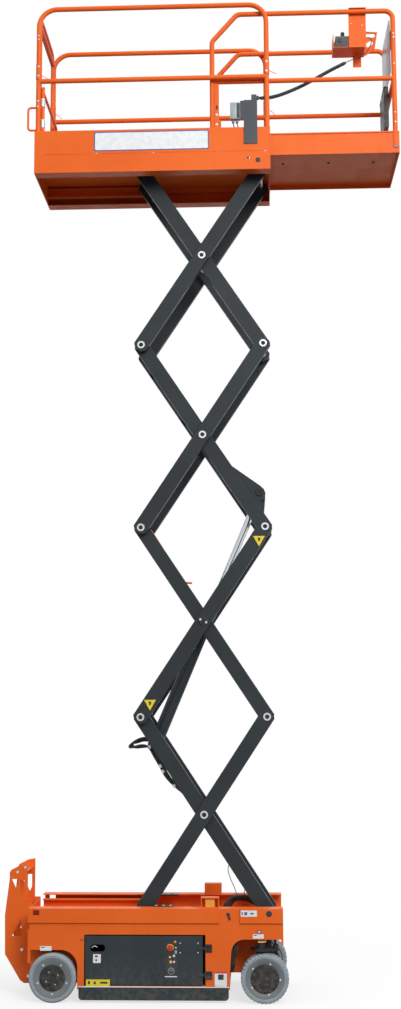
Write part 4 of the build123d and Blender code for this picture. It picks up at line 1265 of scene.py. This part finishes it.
@dataclass(frozen=True)
class ChassisDressing:
    """Labels, plugs, bolts, the band's catch, hoses and steering fittings of the chassis."""

    band_y: float = 0.372
    skirt_y: float = 0.362
    slide_y: float = 0.262
    slide_top: float = 0.602
    kingpin_x: float = 0.345
    kingpin_y: float = 0.310
    ladder_y: float = 0.164

    def labels(self, bench: Workbench) -> None:
        """Makes the blank labels on the band and the skirt of both sides, and black film as painted shade in the
        skirt's latch slot.
        """
        band, skirt = self.band_y, self.skirt_y
        rows = (
            ("band_label", (213, 319), (551, 590), band, "white_film"),
            ("band_label_mark_a", (219, 226), (560, 582), band + FILM, "black_film"),
            ("band_label_mark_b", (236, 256), (560, 580), band + FILM, "blue_film"),
            ("band_label_mark_c", (274, 298), (566, 574), band + FILM, "black_film"),
            ("arch_label", (291, 362), (411, 438), skirt, "white_film"),
            ("arch_label_mark", (297, 318), (429, 434), skirt + FILM, "black_film"),
            ("skirt_label", (-1108, -1032), (330, 359), skirt, "white_film"),
            ("skirt_label_mark", (-1102, -1076), (349, 354), skirt + FILM, "black_film"),
            ("door_side_plate", (40, 119), (107, 203), skirt, "white_film"),
            ("door_side_header", (40, 119), (190, 203), skirt + FILM, "red_film"),
            ("door_side_mark", (62, 98), (150, 184), skirt + FILM, "black_film"),
            # the latch slot row is black film that paints the shade inside the skirt's latch slot
            ("latch_slot", (-848, -822), (396, 402), skirt, "black_film"),
        )
        for side in Side:
            stick(bench, "chassis", side, rows)

    def fasteners(self, bench: Workbench) -> None:
        """Makes the black plugs, the ringed bolts and the bolted slide stops."""
        for side in Side:
            plug = bench.turned(f"band_plug_{side.word}", side.at(0.398, self.band_y, 0.569), side.facing, [
                (0.0195, 0.0), (0.0195, 0.0015), (0.0165, 0.0032), (0.010, 0.0036), (0.009, 0.0026),
            ], 32)
            bench.done(plug, "black_plastic", "chassis")
            bolt_x, bolt_z = 0.332, 0.452
            ring = bench.turned(f"skirt_bolt_ring_{side.word}", side.at(bolt_x, self.skirt_y, bolt_z), side.facing, [
                (0.0125, 0.0), (0.0125, 0.001), (0.0115, 0.0016), (0.008, 0.0016),
            ], 28)
            bench.done(ring, "black_running_gear", "chassis")
            spots = [side.at(bolt_x, self.skirt_y + 0.0014, bolt_z)]
            bench.bolted(f"skirt_bolts_{side.word}", spots, side.facing, 0.0062, "chassis")
            middle = side.value * self.slide_y
            plate = bench.slab(f"slide_stop_{side.word}", (-0.372, middle - 0.030, self.slide_top - 0.008),
                               (-0.232, middle + 0.030, self.slide_top), 0.002)
            bench.done(plate, "black_running_gear", "chassis")
            spots = [(x, middle, self.slide_top) for x in (-0.350, -0.302, -0.254)]
            bench.bolted(f"slide_stop_bolts_{side.word}", spots, Facing.UP, 0.008, "chassis")

    def toggle(self, bench: Workbench) -> None:
        """Makes the black catch in the recess of the right band."""
        boss = bench.turned("catch_boss", (0.132, -0.362, 0.562), Facing.RIGHT, [
            (0.011, 0.0), (0.011, 0.003), (0.009, 0.0045), (0.005, 0.0045),
        ], 28)
        bench.done(boss, "black_plastic", "chassis")
        lever = bench.sheet("catch_lever", [mm(119, 572), mm(132, 576), mm(148, 533), mm(138, 529)],
                            (-0.3665, -0.3705), 0.0012)
        bench.done(lever, "black_plastic", "chassis")

    def steering(self, bench: Workbench) -> None:
        """Makes the kingpin collars, and the hoses that turn in the front arches."""
        for side in Side:
            place = side.at(self.kingpin_x, self.kingpin_y, 0.3805)
            collar = bench.spun(f"kingpin_collar_{side.word}", place, Facing.UP, [
                (0.0295, 0.0), (0.0330, 0.0), (0.0330, 0.010), (0.0310, 0.012), (0.0295, 0.012),
            ], 36)
            bench.done(collar, "brass", "chassis")
            for index, shift in enumerate((0.0, 0.016, 0.032)):
                hose = bench.wire(f"steer_hose_{index}_{side.word}", [
                    side.at(0.150 + shift, 0.300, 0.395), side.at(0.158 + shift, 0.318, 0.345),
                    side.at(0.152 + shift * 0.6, 0.326, 0.280), side.at(0.150 + shift * 0.5, 0.312, 0.215),
                    side.at(0.146 + shift * 0.4, 0.270, 0.185),
                ], 0.0065)
                bench.done(hose, "black_rubber", "chassis")

    def pivot_hoses(self, bench: Workbench) -> None:
        """Makes the oil hoses and the thin cables that cross from the tray to the stack."""
        for index in range(3):
            drop = index * 0.016
            y = -0.118 + index * 0.030
            start, end = (0.092 + drop, y, 0.470), (0.330, y, 0.585 - drop * 0.4)
            hose = bench.wire(f"pivot_hose_{index}", [
                start, (0.086 + drop, y, 0.545), (0.112 + drop, y, 0.612 - drop), (0.170, y, 0.648 - drop),
                (0.240, y, 0.648 - drop), (0.295, y, 0.622 - drop), end,
            ], 0.0085)
            self.crossing(bench, hose, "black_rubber", (0.20, y, 0.640), end)
        for index, (x, top) in enumerate(((0.126, 0.874), (0.233, 0.712))):
            y = -0.105 + index * 0.022
            end = (x + 0.018, y, top + 0.010)
            cable = bench.wire(f"pivot_cable_{index}", [
                (0.196 + index * 0.02, y, 0.600), (0.182 + index * 0.022, y, 0.672), (x + 0.012, y, top - 0.110),
                (x - 0.006, y, top - 0.045), end,
            ], 0.0026)
            self.crossing(bench, cable, "cord_jacket", (0.19, y, 0.62), end)

    @staticmethod
    def crossing(bench: Workbench, piece: bpy.types.Object, finish: str, start: Point, end: Point) -> None:
        """Paints a hose and bakes its place into its mesh; it rides on no body."""
        bench.paint(piece, finish)
        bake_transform(piece)
        log.info("%s crosses from chassis to inner_arms_1", piece.name)

    def ladder(self, bench: Workbench) -> None:
        """Makes the ladder's bolts on its near and far cheeks."""
        for side in Side:
            corners = ((-1.246, 0.838), (-1.298, 0.806), (-1.262, 0.300), (-1.216, 0.130))
            spots = [side.at(x, self.ladder_y, z) for x, z in corners]
            bench.bolted(f"ladder_bolts_{side.word}", spots, side.facing, 0.0075, "chassis")

    def build(self, bench: Workbench) -> None:
        """Builds everything stuck or screwed on the chassis."""
        self.labels(bench)
        self.fasteners(bench)
        self.toggle(bench)
        self.steering(bench)
        self.pivot_hoses(bench)
        self.ladder(bench)


# --- doors ----------------------------------------------------------------------


@dataclass(frozen=True)
class DoorDressing:
    """Blank labels, grips, screws and the ground controls of the two side doors."""

    face_y: float = 0.366
    panel_y: float = 0.3622

    def both_doors(self, bench: Workbench, side: Side) -> None:
        """Makes what both doors carry."""
        face, body = self.face_y, f"door_{side.word}"
        stick(bench, body, side, (
            ("door_label_white", (-757, -706), (254, 310), face, "white_film"),
            ("door_label_mark_a", (-745, -727), (290, 302), face + FILM, "black_film"),
            ("door_label_mark_b", (-742, -730), (266, 278), face + FILM, "black_film"),
            ("door_label_yellow", (-802, -646), (108, 150), face, "yellow_film"),
            ("door_label_bar_a", (-790, -776), (120, 140), face + FILM, "black_film"),
            ("door_label_bar_b", (-752, -738), (120, 138), face + FILM, "black_film"),
            ("door_label_bar_c", (-710, -662), (124, 136), face + FILM, "black_film"),
            # the latch slot row is black film that paints the shade inside the door's latch slot
            ("door_latch_slot", (-797, -763), (396, 402), face, "black_film"),
        ))
        hook = bench.wire(f"door_grip_wire_{side.word}", [
            side.at(-0.772, 0.350, 0.338), side.at(-0.768, 0.361, 0.352), side.at(-0.748, 0.363, 0.362),
            side.at(-0.732, 0.362, 0.356), side.at(-0.728, 0.352, 0.346),
        ], 0.0030)
        bench.done(hook, "bright_steel", body)

    def dial(self, bench: Workbench, name: str, x: float, z: float, profile: Profile, finish: str) -> None:
        """Makes one round control on the ground panel.

        Args:
            bench: the tools.
            name: the control's name.
            x: its place along the machine, in millimetres.
            z: its height, in millimetres.
            profile: its steps in millimetres.
            finish: its finish.
        """
        steps = [mm(*step) for step in profile]
        foot = (x / 1000.0, -self.panel_y, z / 1000.0)
        bench.done(bench.turned(name, foot, Facing.RIGHT, steps, 36), finish, "door_right")

    def ground_controls(self, bench: Workbench) -> None:
        """Makes the stop button, the lamp, the key switch, the toggles, the socket and the panel's marks."""
        self.dial(bench, "stop_collar", -251, 352, [(23, 0), (23, 3), (21, 4.6), (16, 4.6)], "yellow_plastic")
        self.dial(bench, "stop_button", -251, 352, [
            (14, 3), (14, 7), (18.5, 8), (19.5, 11), (17.5, 13.6), (9, 14.2),
        ], "red_plastic")
        self.dial(bench, "ready_lamp", -219, 388, [(8.5, 0), (8.5, 3), (7, 5), (4, 7), (1.5, 7.6)], "lamp_orange")
        self.dial(bench, "key_switch", -247, 262, [(11, 0), (11, 3), (9, 5), (7, 5), (7, 9), (4, 9.5)], "brass")
        self.dial(bench, "key_guard", -252, 292, [(8, 0), (8, 4), (6, 5.5), (3, 5.5), (2.5, 8)], "brass")
        self.dial(bench, "lift_toggle", -226, 300, [
            (8, 0), (8, 3), (5, 4), (3, 9), (3.5, 12), (2, 12.5),
        ], "bright_steel")
        self.dial(bench, "drive_toggle", -226, 262, [
            (7, 0), (7, 3), (4, 4), (2.5, 8), (3, 10.5), (1.8, 11),
        ], "bright_steel")
        self.dial(bench, "charge_socket", -245, 203, [
            (24, 0), (24, 4), (21, 6.5), (17, 6.5), (16, 3), (6, 3), (5, 5),
        ], "rim_coat")
        for index, z in enumerate((352, 330, 318)):
            Label(f"panel_mark_{index}", "door_right", mm(-220, -208), mm(z - 3, z + 3), -self.panel_y).build(bench)
        Label("panel_mark_low", "door_right", mm(-286, -206), mm(166, 172), -self.panel_y).build(bench)
        Label("door_side_dash", "door_right", mm(-129, -106), mm(369, 374), -self.face_y, "black_film").build(bench)
        spots = [(x, -self.face_y, z) for x in (-0.185, -0.068) for z in (0.321, 0.381)]
        bench.screwed("panel_side_screws", spots, Facing.RIGHT, 0.0050, "door_right")

    def build(self, bench: Workbench) -> None:
        """Builds the dressing of both doors."""
        for side in Side:
            self.both_doors(bench, side)
        self.ground_controls(bench)


# --- scissor stack --------------------------------------------------------------


@dataclass(frozen=True)
class ArmDressing:
    """Pin middles, retainers, blank warning triangles, hoses and clamps of the scissor stack."""

    base_x: float = 0.401
    slide_x: float = -0.461
    base_z: float = 0.540
    level: float = 1.30141
    centre_x: float = -0.030
    arm_y: float = 0.220
    pin_y: float = 0.2230
    cap_y: float = 0.2262
    lock_y: float = 0.176
    triangle_thick: float = 0.0005
    prop_y: float = -0.1125
    prop_thick: float = 0.025
    gusset_y: float = 0.1283

    def triangle(self, bench: Workbench, name: str, x: float, z: float, side: Side) -> None:
        """Makes one blank yellow triangle, point down, on a second-level outer arm's face."""
        y = side.value * self.arm_y
        half, tall = 0.041, 0.072
        thick = side.value * self.triangle_thick
        plate = bench.sheet(name, [(x - half, z + tall / 2), (x + half, z + tall / 2), (x, z - tall / 2)],
                            (y, y + thick), 0.0)
        bench.done(plate, "yellow_film", "outer_arms_2")
        mark = bench.sheet(f"{name}_mark", [
            (x - 0.010, z + 0.024), (x + 0.004, z + 0.026), (x + 0.010, z + 0.016), (x + 0.002, z - 0.004),
            (x - 0.006, z + 0.004),
        ], (y + thick, y + 2 * thick), 0.0)
        bench.done(mark, "black_film", "outer_arms_2")

    def pin_rings(self, bench: Workbench) -> None:
        """Makes the dark middles of the pin heads, and the bolted caps on the second centre pin."""
        for step in range(1, 5):
            low, high = self.base_z + (step - 1) * self.level, self.base_z + step * self.level
            middle = (low + high) / 2
            for side in Side:
                spots = [side.at(self.centre_x, self.pin_y, middle)]
                if step < 4:
                    spots.append(side.at(self.base_x, self.pin_y, high))
                if step > 1:
                    spots.append(side.at(self.slide_x, self.pin_y, low))
                cup = bench.turned("cup", (0, 0, 0), Facing.UP, [
                    (0.0148, 0.0), (0.0148, 0.0026), (0.0130, 0.0036), (0.0085, 0.0036), (0.0075, 0.0022),
                ], 28)
                joined = bench.repeated(cup, bench.stands(spots, side.facing), f"pin_middles_{step}_{side.word}")
                bench.done(joined, "black_running_gear", f"outer_arms_{step}")
        x, z = self.centre_x, self.base_z + 1.5 * self.level
        for side in Side:
            cap = bench.turned(f"centre_cap_{side.word}", side.at(x, self.cap_y, z), side.facing, [
                (0.0262, 0.0), (0.0262, 0.003), (0.0235, 0.005), (0.012, 0.0055),
            ], 36)
            bench.done(cap, "black_running_gear", "outer_arms_2")
            spots = [side.at(x + step, self.cap_y + 0.0048, z - step / 2) for step in (-0.020, 0.020)]
            bench.bolted(f"centre_cap_bolts_{side.word}", spots, side.facing, 0.0062, "outer_arms_2")

    def lock_plates(self, bench: Workbench) -> None:
        """Makes the small plated lock plates that stop the end pins turning."""
        for level in (1, 2, 3):
            z = self.base_z + level * self.level
            rows = (
                ("front", f"inner_arms_{level + 1}", self.base_x - 0.043, z + 0.006),
                ("rear", f"inner_arms_{level}", self.slide_x + 0.046, z + 0.002),
            )
            for end, body, x, height in rows:
                for side in Side:
                    low, high = sorted((side.value * self.lock_y, side.value * (self.lock_y + 0.003)))
                    plate = bench.slab(f"lock_plate_{level}_{end}_{side.word}", (x - 0.005, low, height - 0.017),
                                       (x + 0.005, high, height + 0.017), 0.001)
                    bench.done(plate, "zinc_plate", body)

    def stack_hoses(self, bench: Workbench) -> None:
        """Makes the hose run under the lowest inner arm, its loop at the barrel's foot and its clamps."""
        for index in range(3):
            y = -0.075 + index * 0.022
            out = index * 0.010
            hose = bench.wire(f"stack_hose_{index}", [
                (-0.400, y, 1.690 - out), (-0.440, y, 1.704 - out), (-0.505, y, 1.682 - out),
                (-0.556 + out, y, 1.640 + out), (-0.540 + out, y, 1.628), (-0.470, y, 1.652 - out),
                (-0.414 + out, y, 1.640), (-0.378 + out, y, 1.570), (-0.338 + out, y, 1.506),
                (-0.300 + out, y, 1.432), (-0.246 + out, y, 1.378), (-0.150 + out, y, 1.300), (-0.060, y, 1.190),
                (0.150, y, 0.880), (0.300, y, 0.670),
            ], 0.0070)
            bench.done(hose, "black_rubber", "inner_arms_1")
        clamp = bench.slab("clamp", (-0.009, -0.036, -0.012), (0.009, 0.036, 0.012), 0.002)
        spots = ((-0.408, 1.638), (-0.336, 1.506), (-0.318, 1.470), (-0.240, 1.372))
        turn = Matrix.Rotation(math.radians(-33.0), 4, "Y")
        places = [Matrix.Translation((x, -0.054, z)) @ turn for x, z in spots]
        bench.done(bench.repeated(clamp, places, "hose_clamps"), "zinc_plate", "inner_arms_1")

    def top_hoses(self, bench: Workbench) -> None:
        """Makes the coil of hose that hangs above the top centre pin."""
        for index in range(2):
            y = -0.070 + index * 0.030
            hose = bench.wire(f"top_hose_{index}", [
                (-0.180, y, 5.330), (-0.120, y, 5.250), (-0.070, y, 5.175), (-0.020, y, 5.160), (-0.010, y, 5.205),
                (-0.060, y, 5.240), (-0.110, y, 5.215), (-0.090, y, 5.160), (-0.020, y, 5.080), (0.080, y, 4.920),
            ], 0.0075)
            bench.done(hose, "black_rubber", "inner_arms_4")

    def along_inner(self, base: Point, along: float, offset: float) -> Tuple[float, float]:
        """Gives the X and Z of a place on a second-level inner arm.

        Args:
            base: the X and Z of the arm's lower pin.
            along: the distance up the arm.
            offset: the distance square to it, upward.

        Returns:
            The place's X and Z.
        """
        angle = math.atan2(self.level, self.base_x - self.slide_x)
        return (base[0] - along * math.cos(angle) + offset * math.sin(angle),
                base[1] + along * math.sin(angle) + offset * math.cos(angle))

    def safety_prop(self, bench: Workbench) -> None:
        """Makes the maintenance prop that hangs on the second inner arms' upper cross tube."""
        base = (self.base_x, self.base_z + self.level)
        outline = [self.along_inner(base, *corner) for corner in (
            (1.060, 0.010), (1.060, 0.042), (1.460, 0.053), (1.520, 0.053), (1.520, 0.022), (1.452, -0.036),
            (1.388, -0.036), (1.360, 0.010),
        )]
        faces = (self.prop_y - self.prop_thick / 2, self.prop_y + self.prop_thick / 2)
        plate = bench.sheet("safety_prop_plate", outline, faces, 0.003)
        bench.done(plate, "orange_powder_coat", "inner_arms_2")
        route = [self.along_inner(base, *place) for place in ((1.090, 0.028), (1.070, 0.0545), (1.050, 0.081))]
        grip = bench.wire("safety_prop_grip", [(x, self.prop_y, z) for x, z in route], 0.0070)
        bench.done(grip, "orange_powder_coat", "inner_arms_2")

    def oil_pipe(self, bench: Workbench) -> None:
        """Makes the hard oil pipe that runs along the lift barrel."""
        lowest, highest = (Vector(end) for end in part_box("lift_barrel"))
        rod_low, rod_high = (Vector(end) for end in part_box("lift_rod"))
        lean = 1.0 if (rod_low.x + rod_high.x) > (lowest.x + highest.x) else -1.0
        start = Vector((lowest.x if lean > 0 else highest.x, 0.0, lowest.z))
        end = Vector((highest.x if lean > 0 else lowest.x, 0.0, highest.z))
        line = (end - start).normalized()
        out = Vector((line.z, 0.0, -line.x)) * -lean
        beside = out * 0.018 + Vector((0.0, -0.052, 0.0))
        points = [start + line * step + beside for step in (0.16, 0.40, 0.64, 0.90)]
        pipe = bench.wire("oil_pipe", [tuple(point) for point in points], 0.0060)
        bench.done(pipe, "charcoal_powder_coat", "lift_barrel")

    def barrel_fittings(self, bench: Workbench) -> None:
        """Makes the head of the rod's eye pin and its keeper's bolt, on both gussets."""
        for side in Side:
            spots = [side.at(0.392, self.gusset_y, 3.338)]
            bolt = bench.bolts(f"keeper_bolts_{side.word}", spots, side.facing, 0.0085)
            bench.done(bolt, "black_running_gear", "inner_arms_3")
            place = side.at(0.363, self.gusset_y, 3.394)
            head = bench.turned(f"eye_pin_head_{side.word}", place, side.facing, [
                (0.026, 0.0), (0.026, 0.005), (0.023, 0.007), (0.013, 0.007), (0.012, 0.004),
            ], 32)
            bench.done(head, "black_running_gear", "inner_arms_3")

    def build(self, bench: Workbench) -> None:
        """Builds the dressing of the stack."""
        self.pin_rings(bench)
        self.lock_plates(bench)
        self.stack_hoses(bench)
        self.top_hoses(bench)
        self.barrel_fittings(bench)
        self.safety_prop(bench)
        self.oil_pipe(bench)
        for side in Side:
            self.triangle(bench, f"triangle_upper_{side.word}", 0.358, 3.040, side)
            self.triangle(bench, f"triangle_lower_{side.word}", -0.396, 1.922, side)


# --- platform -------------------------------------------------------------------


@dataclass(frozen=True)
class PlatformDressing:
    """The blank side plates, pressed panels, rail fittings, entry hoop, hinges and junction of the platform."""

    skirt_y: float = 0.372
    rail_y: float = 0.352
    posts: Tuple[Tuple[str, float], ...] = (("rear", -1.192), ("front", 0.446))
    sleeve_foot: float = 6.376
    pin_z: float = 6.445

    def plate(self, bench: Workbench, side: Side) -> None:
        """Makes the long white plate with its blue border on one side."""
        stick(bench, "platform", side, (
            ("side_plate_border", (-787, 32), (5822, 5966), self.skirt_y, "blue_film"),
            ("side_plate", (-779, 24), (5830, 5958), self.skirt_y + FILM, "white_film"),
        ))

    def panel(self, bench: Workbench, side: Side) -> None:
        """Makes the pressed line, its screws, the round plug and the pin of the latch of one panel."""
        low, high = sorted(side.value * (self.skirt_y + step) for step in (0.0, 0.0016))
        spans = ((-1.140, -0.800), (-0.730, -0.395), (-0.330, 0.100), (0.140, 0.400))
        for index, (rear, front) in enumerate(spans):
            bead = bench.slab(f"panel_bead_{index}_{side.word}", (rear, low, 5.8035), (front, high, 5.8075), 0.0012)
            bench.done(bead, "orange_powder_coat", "platform")
        spots = [side.at(x, self.skirt_y, z) for x, z in ((-0.765, 5.805), (-0.363, 5.802), (0.428, 5.800))]
        bench.screwed(f"panel_screws_{side.word}", spots, side.facing, 0.0050, "platform")
        place = side.at(0.379, self.skirt_y - 0.001, 5.735)
        plug = bench.turned(f"panel_plug_{side.word}", place, side.facing, [
            (0.0175, 0.0), (0.0175, 0.0025), (0.015, 0.004), (0.009, 0.004), (0.0075, 0.0025),
        ], 32)
        bench.done(plug, "black_plastic", "platform")
        place = side.at(0.319, self.skirt_y - 0.006, 5.751)
        pin = bench.turned(f"latch_pin_{side.word}", place, side.facing, [
            (0.006, 0.0), (0.006, 0.006), (0.0045, 0.0075),
        ], 20)
        bench.done(pin, "zinc_plate", "platform")

    def rail_fittings(self, bench: Workbench, side: Side) -> None:
        """Makes the sleeves, the bolts through them and the uprights, and the lanyards with their pins."""
        for name, x in self.posts:
            place = side.at(x, self.rail_y, self.sleeve_foot)
            sleeve = bench.spun(f"rail_sleeve_{name}_{side.word}", place, Facing.UP, [
                (0.0176, 0.0), (0.0190, 0.0), (0.0195, 0.002), (0.0195, 0.118), (0.0190, 0.120), (0.0176, 0.120),
            ], 32)
            bench.done(sleeve, "orange_powder_coat", "platform")
        reach = self.rail_y + 0.0186
        spots = [side.at(x, reach, self.sleeve_foot + up) for _, x in self.posts for up in (0.024, 0.094)]
        bench.bolted(f"sleeve_bolts_{side.word}", spots, side.facing, 0.0062, "platform")
        rear_x, reach = self.posts[0][1], self.rail_y + 0.0168
        spots = [side.at(rear_x, reach, z) for z in (6.679, 6.707, 6.169, 6.210)]
        bench.screwed(f"post_bolts_{side.word}", spots, side.facing, 0.0068, "platform")
        for name, x in self.posts:
            inner = self.rail_y - 0.020
            wire = bench.wire(f"lanyard_{name}_{side.word}", [
                side.at(x, inner, self.pin_z), side.at(x + 0.018, inner - 0.006, 6.420),
                side.at(x + 0.046, inner, 6.404), side.at(x + 0.062, inner + 0.004, 6.392),
                side.at(x + 0.066, self.rail_y - 0.0015, 6.3845),
            ], 0.0022)
            bench.done(wire, "orange_powder_coat", "platform")
            place = side.at(x, inner, self.pin_z)
            ring = bench.spun(f"lanyard_pin_{name}_{side.word}", place, side.facing, [
                (0.006, -0.012), (0.009, -0.012), (0.009, -0.002), (0.006, -0.002),
            ], 24)
            bench.done(ring, "zinc_plate", "platform")

    def entry_hoop(self, bench: Workbench) -> None:
        """Makes the hoop across the entry end, standing on the floor, and its short ties."""
        x, half, foot, crown, bend = self.posts[0][1], 0.300, 5.804, 6.872, 0.090
        path = [(x, -half, foot), (x, -half, (foot + crown) / 2), (x, -half, crown - bend)]
        for step in range(1, 6):
            angle = math.pi / 2 * step / 6
            path.append((x, -half + bend * (1 - math.cos(angle)), crown - bend + bend * math.sin(angle)))
        path += [(x, -half + bend, crown), (x, 0.0, crown)]
        path += [(x, -y, z) for _, y, z in reversed(path[:-1])]
        bench.done(bench.wire("entry_hoop", path, 0.015), "orange_powder_coat", "platform")
        for index, z in enumerate((6.060, 6.365, 6.700)):
            for side in Side:
                route = [side.at(x, reach, z) for reach in (0.346, 0.325, 0.304)]
                tie = bench.wire(f"entry_hoop_tie_{index}_{side.word}", route, 0.009)
                bench.done(tie, "orange_powder_coat", "platform")

    def gate_hinges(self, bench: Workbench) -> None:
        """Makes the two spring hinges that close the entry gate."""
        coils = [(0.0172 if step % 2 else 0.0165, 0.003 * step) for step in range(21)]
        section = [(0.0132, 0.0), *coils, (0.0132, coils[-1][1])]
        for index, z in enumerate((6.045, 6.203)):
            spring = bench.spun(f"hinge_spring_{index}", (-1.160, -0.345, z - 0.030), Facing.UP, section, 28)
            bench.done(spring, "zinc_plate", "entry_gate")
            plate = bench.slab(f"hinge_leaf_{index}", (-1.192, -0.351, z - 0.036), (-1.168, -0.345, z + 0.036), 0.0012)
            bench.done(plate, "zinc_plate", "platform")

    def junction(self, bench: Workbench) -> None:
        """Makes the junction box's lid, cover, cable glands and tails."""
        lid = bench.slab("junction_lid", mm(186, -377.9, 6044), mm(229, -376.8, 6161), 0.0004)
        bench.done(lid, "grey_plastic", "platform")
        side_cover = bench.slab("junction_side_cover", mm(231, -377.9, 6046), mm(253, -376.8, 6159), 0.0004)
        bench.done(side_cover, "bracket_coat", "platform")
        for index, x in enumerate((0.205, 0.232)):
            gland = bench.turned(f"junction_gland_{index}", (x, -0.354, 6.021), Facing.DOWN, [
                (0.0095, -0.012), (0.0095, 0.0), (0.0085, 0.004), (0.0055, 0.006),
            ], 18)
            bench.done(gland, "rim_coat", "platform")
            tail = bench.wire(f"junction_tail_{index}", [
                (x, -0.354, 6.018), (x + 0.002, -0.354, 6.000), (x + 0.010, -0.350, 5.985),
                (x + 0.020, -0.345, 5.9805),
            ], 0.0035)
            bench.done(tail, "black_rubber", "platform")

    def build(self, bench: Workbench) -> None:
        """Builds the dressing of the platform."""
        for side in Side:
            self.plate(bench, side)
            self.panel(bench, side)
            self.rail_fittings(bench, side)
        self.entry_hoop(bench)
        self.gate_hinges(bench)
        self.junction(bench)


@dataclass(frozen=True)
class RollDeckDressing:
    """The console's controls, the wind sheet, the trim and the rail bolts of the roll-out deck."""

    rail_y: float = 0.310
    toe_y: Tuple[float, float] = (0.342, 0.347)
    sheet_half: float = 0.2845
    sheet_corner: float = 0.080
    sheet_z: Tuple[float, float] = (6.410, 6.7565)
    sheet_x: float = 1.3377

    def console(self, bench: Workbench) -> None:
        """Makes the boot of the upper controls' knob, the side dial and the stop button."""
        y = -0.240
        boot = bench.turned("knob_boot", (1.000, y, 6.738), Facing.UP, [
            (0.0125, -0.022), (0.0150, -0.018), (0.0130, -0.012), (0.0145, -0.008), (0.0120, -0.002), (0.0105, 0.0),
        ], 28)
        bench.done(boot, "black_rubber", "roll_deck")
        dial = bench.turned("console_side_dial", (0.975, -0.2842, 6.655), Facing.RIGHT, [
            (0.013, 0.0), (0.013, 0.0035), (0.011, 0.005), (0.006, 0.005),
        ], 28)
        bench.done(dial, "black_plastic", "roll_deck")
        button = bench.turned("upper_stop_button", (1.060, y, 6.702), Facing.UP, [
            (0.0165, 0.0), (0.0180, 0.003), (0.0180, 0.008), (0.0150, 0.011), (0.008, 0.012),
        ], 32)
        bench.done(button, "red_plastic", "roll_deck")

    def guard(self, bench: Workbench) -> None:
        """Makes the hanger's dark strip, the tray's clip and the hanger's screws."""
        strip = bench.slab("hanger_strip", mm(1052, -294.0, 6862), mm(1160, -291.9, 6882), 0.0008)
        bench.done(strip, "black_plastic", "roll_deck")
        clip = bench.slab("tray_clip", mm(934, -294.4, 6606), mm(950, -291.6, 6630), 0.001)
        bench.done(clip, "black_plastic", "roll_deck")
        spots = [mm(1060, -292.3, 6780), mm(1138, -292.3, 6766)]
        bench.screwed("hanger_screws", spots, Facing.RIGHT, 0.0050, "roll_deck")

    def front_sheet(self, bench: Workbench) -> None:
        """Makes the wind sheet between the document box and the top of the end frame."""
        half, corner, (low, high) = self.sheet_half, self.sheet_corner, self.sheet_z
        outline = [(-half, low), (half, low), (half, high)]
        for middle, quarter in ((half - corner, 0), (corner - half, 1)):
            for step in range(1, 7):
                angle = math.pi / 2 * (quarter + step / 6)
                outline.append((middle + corner * math.cos(angle), high + corner * math.sin(angle)))
        plate = bench.sheet("wind_sheet", outline, (0.0, 0.004), 0.001)
        plate.data.transform(Matrix.Translation((self.sheet_x, 0.0, 0.0)) @ Matrix.Rotation(math.pi / 2, 4, "Z"))
        bench.done(plate, "window_sheet", "roll_deck")

    def trim(self, bench: Workbench) -> None:
        """Makes the toe boards' folded lips and the foot plates under the front uprights."""
        for side in Side:
            low, high = sorted(side.value * y for y in self.toe_y)
            lip = bench.slab(f"toe_lip_{side.word}", (0.002, low, 5.930), (1.378, high, 5.940), 0.0015)
            bench.done(lip, "orange_deck_coat", "roll_deck")
            foot = bench.slab(f"upright_foot_{side.word}", (1.337, low, 5.818), (1.375, high, 5.929), 0.0015)
            bench.done(foot, "orange_deck_coat", "roll_deck")

    def rails(self, bench: Workbench) -> None:
        """Makes the bolts of the roll-out rails, black film as painted shade in the sleeves' slots, and the front
        uprights' dark feet.
        """
        sleeve, foot = self.rail_y + 0.0162, self.toe_y[1] + 0.0002
        for side in Side:
            spots = [side.at(1.356, self.rail_y + 0.0168, z) for z in (6.683, 6.655, 6.455, 6.090, 6.015)]
            bench.screwed(f"roll_post_bolts_{side.word}", spots, side.facing, 0.0066, "roll_deck")
            spots = [side.at(0.086, sleeve, z) for z in (6.095, 6.023)]
            bench.bolted(f"roll_sleeve_bolts_{side.word}", spots, side.facing, 0.0070, "roll_deck")
            stick(bench, "roll_deck", side, (
                # the sleeve slot row is black film that paints the shade inside the sleeve's slot
                ("roll_sleeve_slot", (80, 96), (6136, 6166), sleeve, "black_film"),
                ("roll_foot", (1340, 1372), (5818, 5834), foot, "black_film"),
            ))

    def document_box(self, bench: Workbench) -> None:
        """Makes the lid and the catch of the document box."""
        lid = bench.slab("document_lid", mm(1303.2, -58, 6378), mm(1306.2, 238, 6403), 0.001)
        bench.done(lid, "black_plastic", "roll_deck")
        catch = bench.slab("document_catch", mm(1302.6, 78, 6360), mm(1305.9, 102, 6392), 0.001)
        bench.done(catch, "zinc_plate", "roll_deck")

    def underside(self, bench: Workbench) -> None:
        """Makes the three small screws under the roll-out floor."""
        spots = [(x, -0.100, 5.810) for x in (0.560, 0.890, 1.215)]
        bench.done(bench.screws("floor_screws", spots, Facing.DOWN, 0.010), "black_running_gear", "roll_deck")

    def build(self, bench: Workbench) -> None:
        """Builds the dressing of the roll-out deck."""
        self.console(bench)
        self.guard(bench)
        self.front_sheet(bench)
        self.trim(bench)
        self.rails(bench)
        self.document_box(bench)
        self.underside(bench)


# --- assembly -------------------------------------------------------------------


def main() -> None:
    """Builds the studio, paints the solids and adds every fitting, sub-assembly by sub-assembly."""
    logging.basicConfig(level=logging.INFO, format="%(message)s")
    bpy.ops.object.select_all(action="DESELECT")
    Studio().build()
    bench = Workbench(Palette())
    ControlCord().build(bench)
    SolidFinishes().build(bench, frame["nodes"])
    for part in (WheelSet(), ChassisDressing(), DoorDressing(), ArmDressing(), PlatformDressing(), RollDeckDressing()):
        part.build(bench)
        log.info("%s is done", type(part).__name__)


if __name__ == "__main__":
    main()
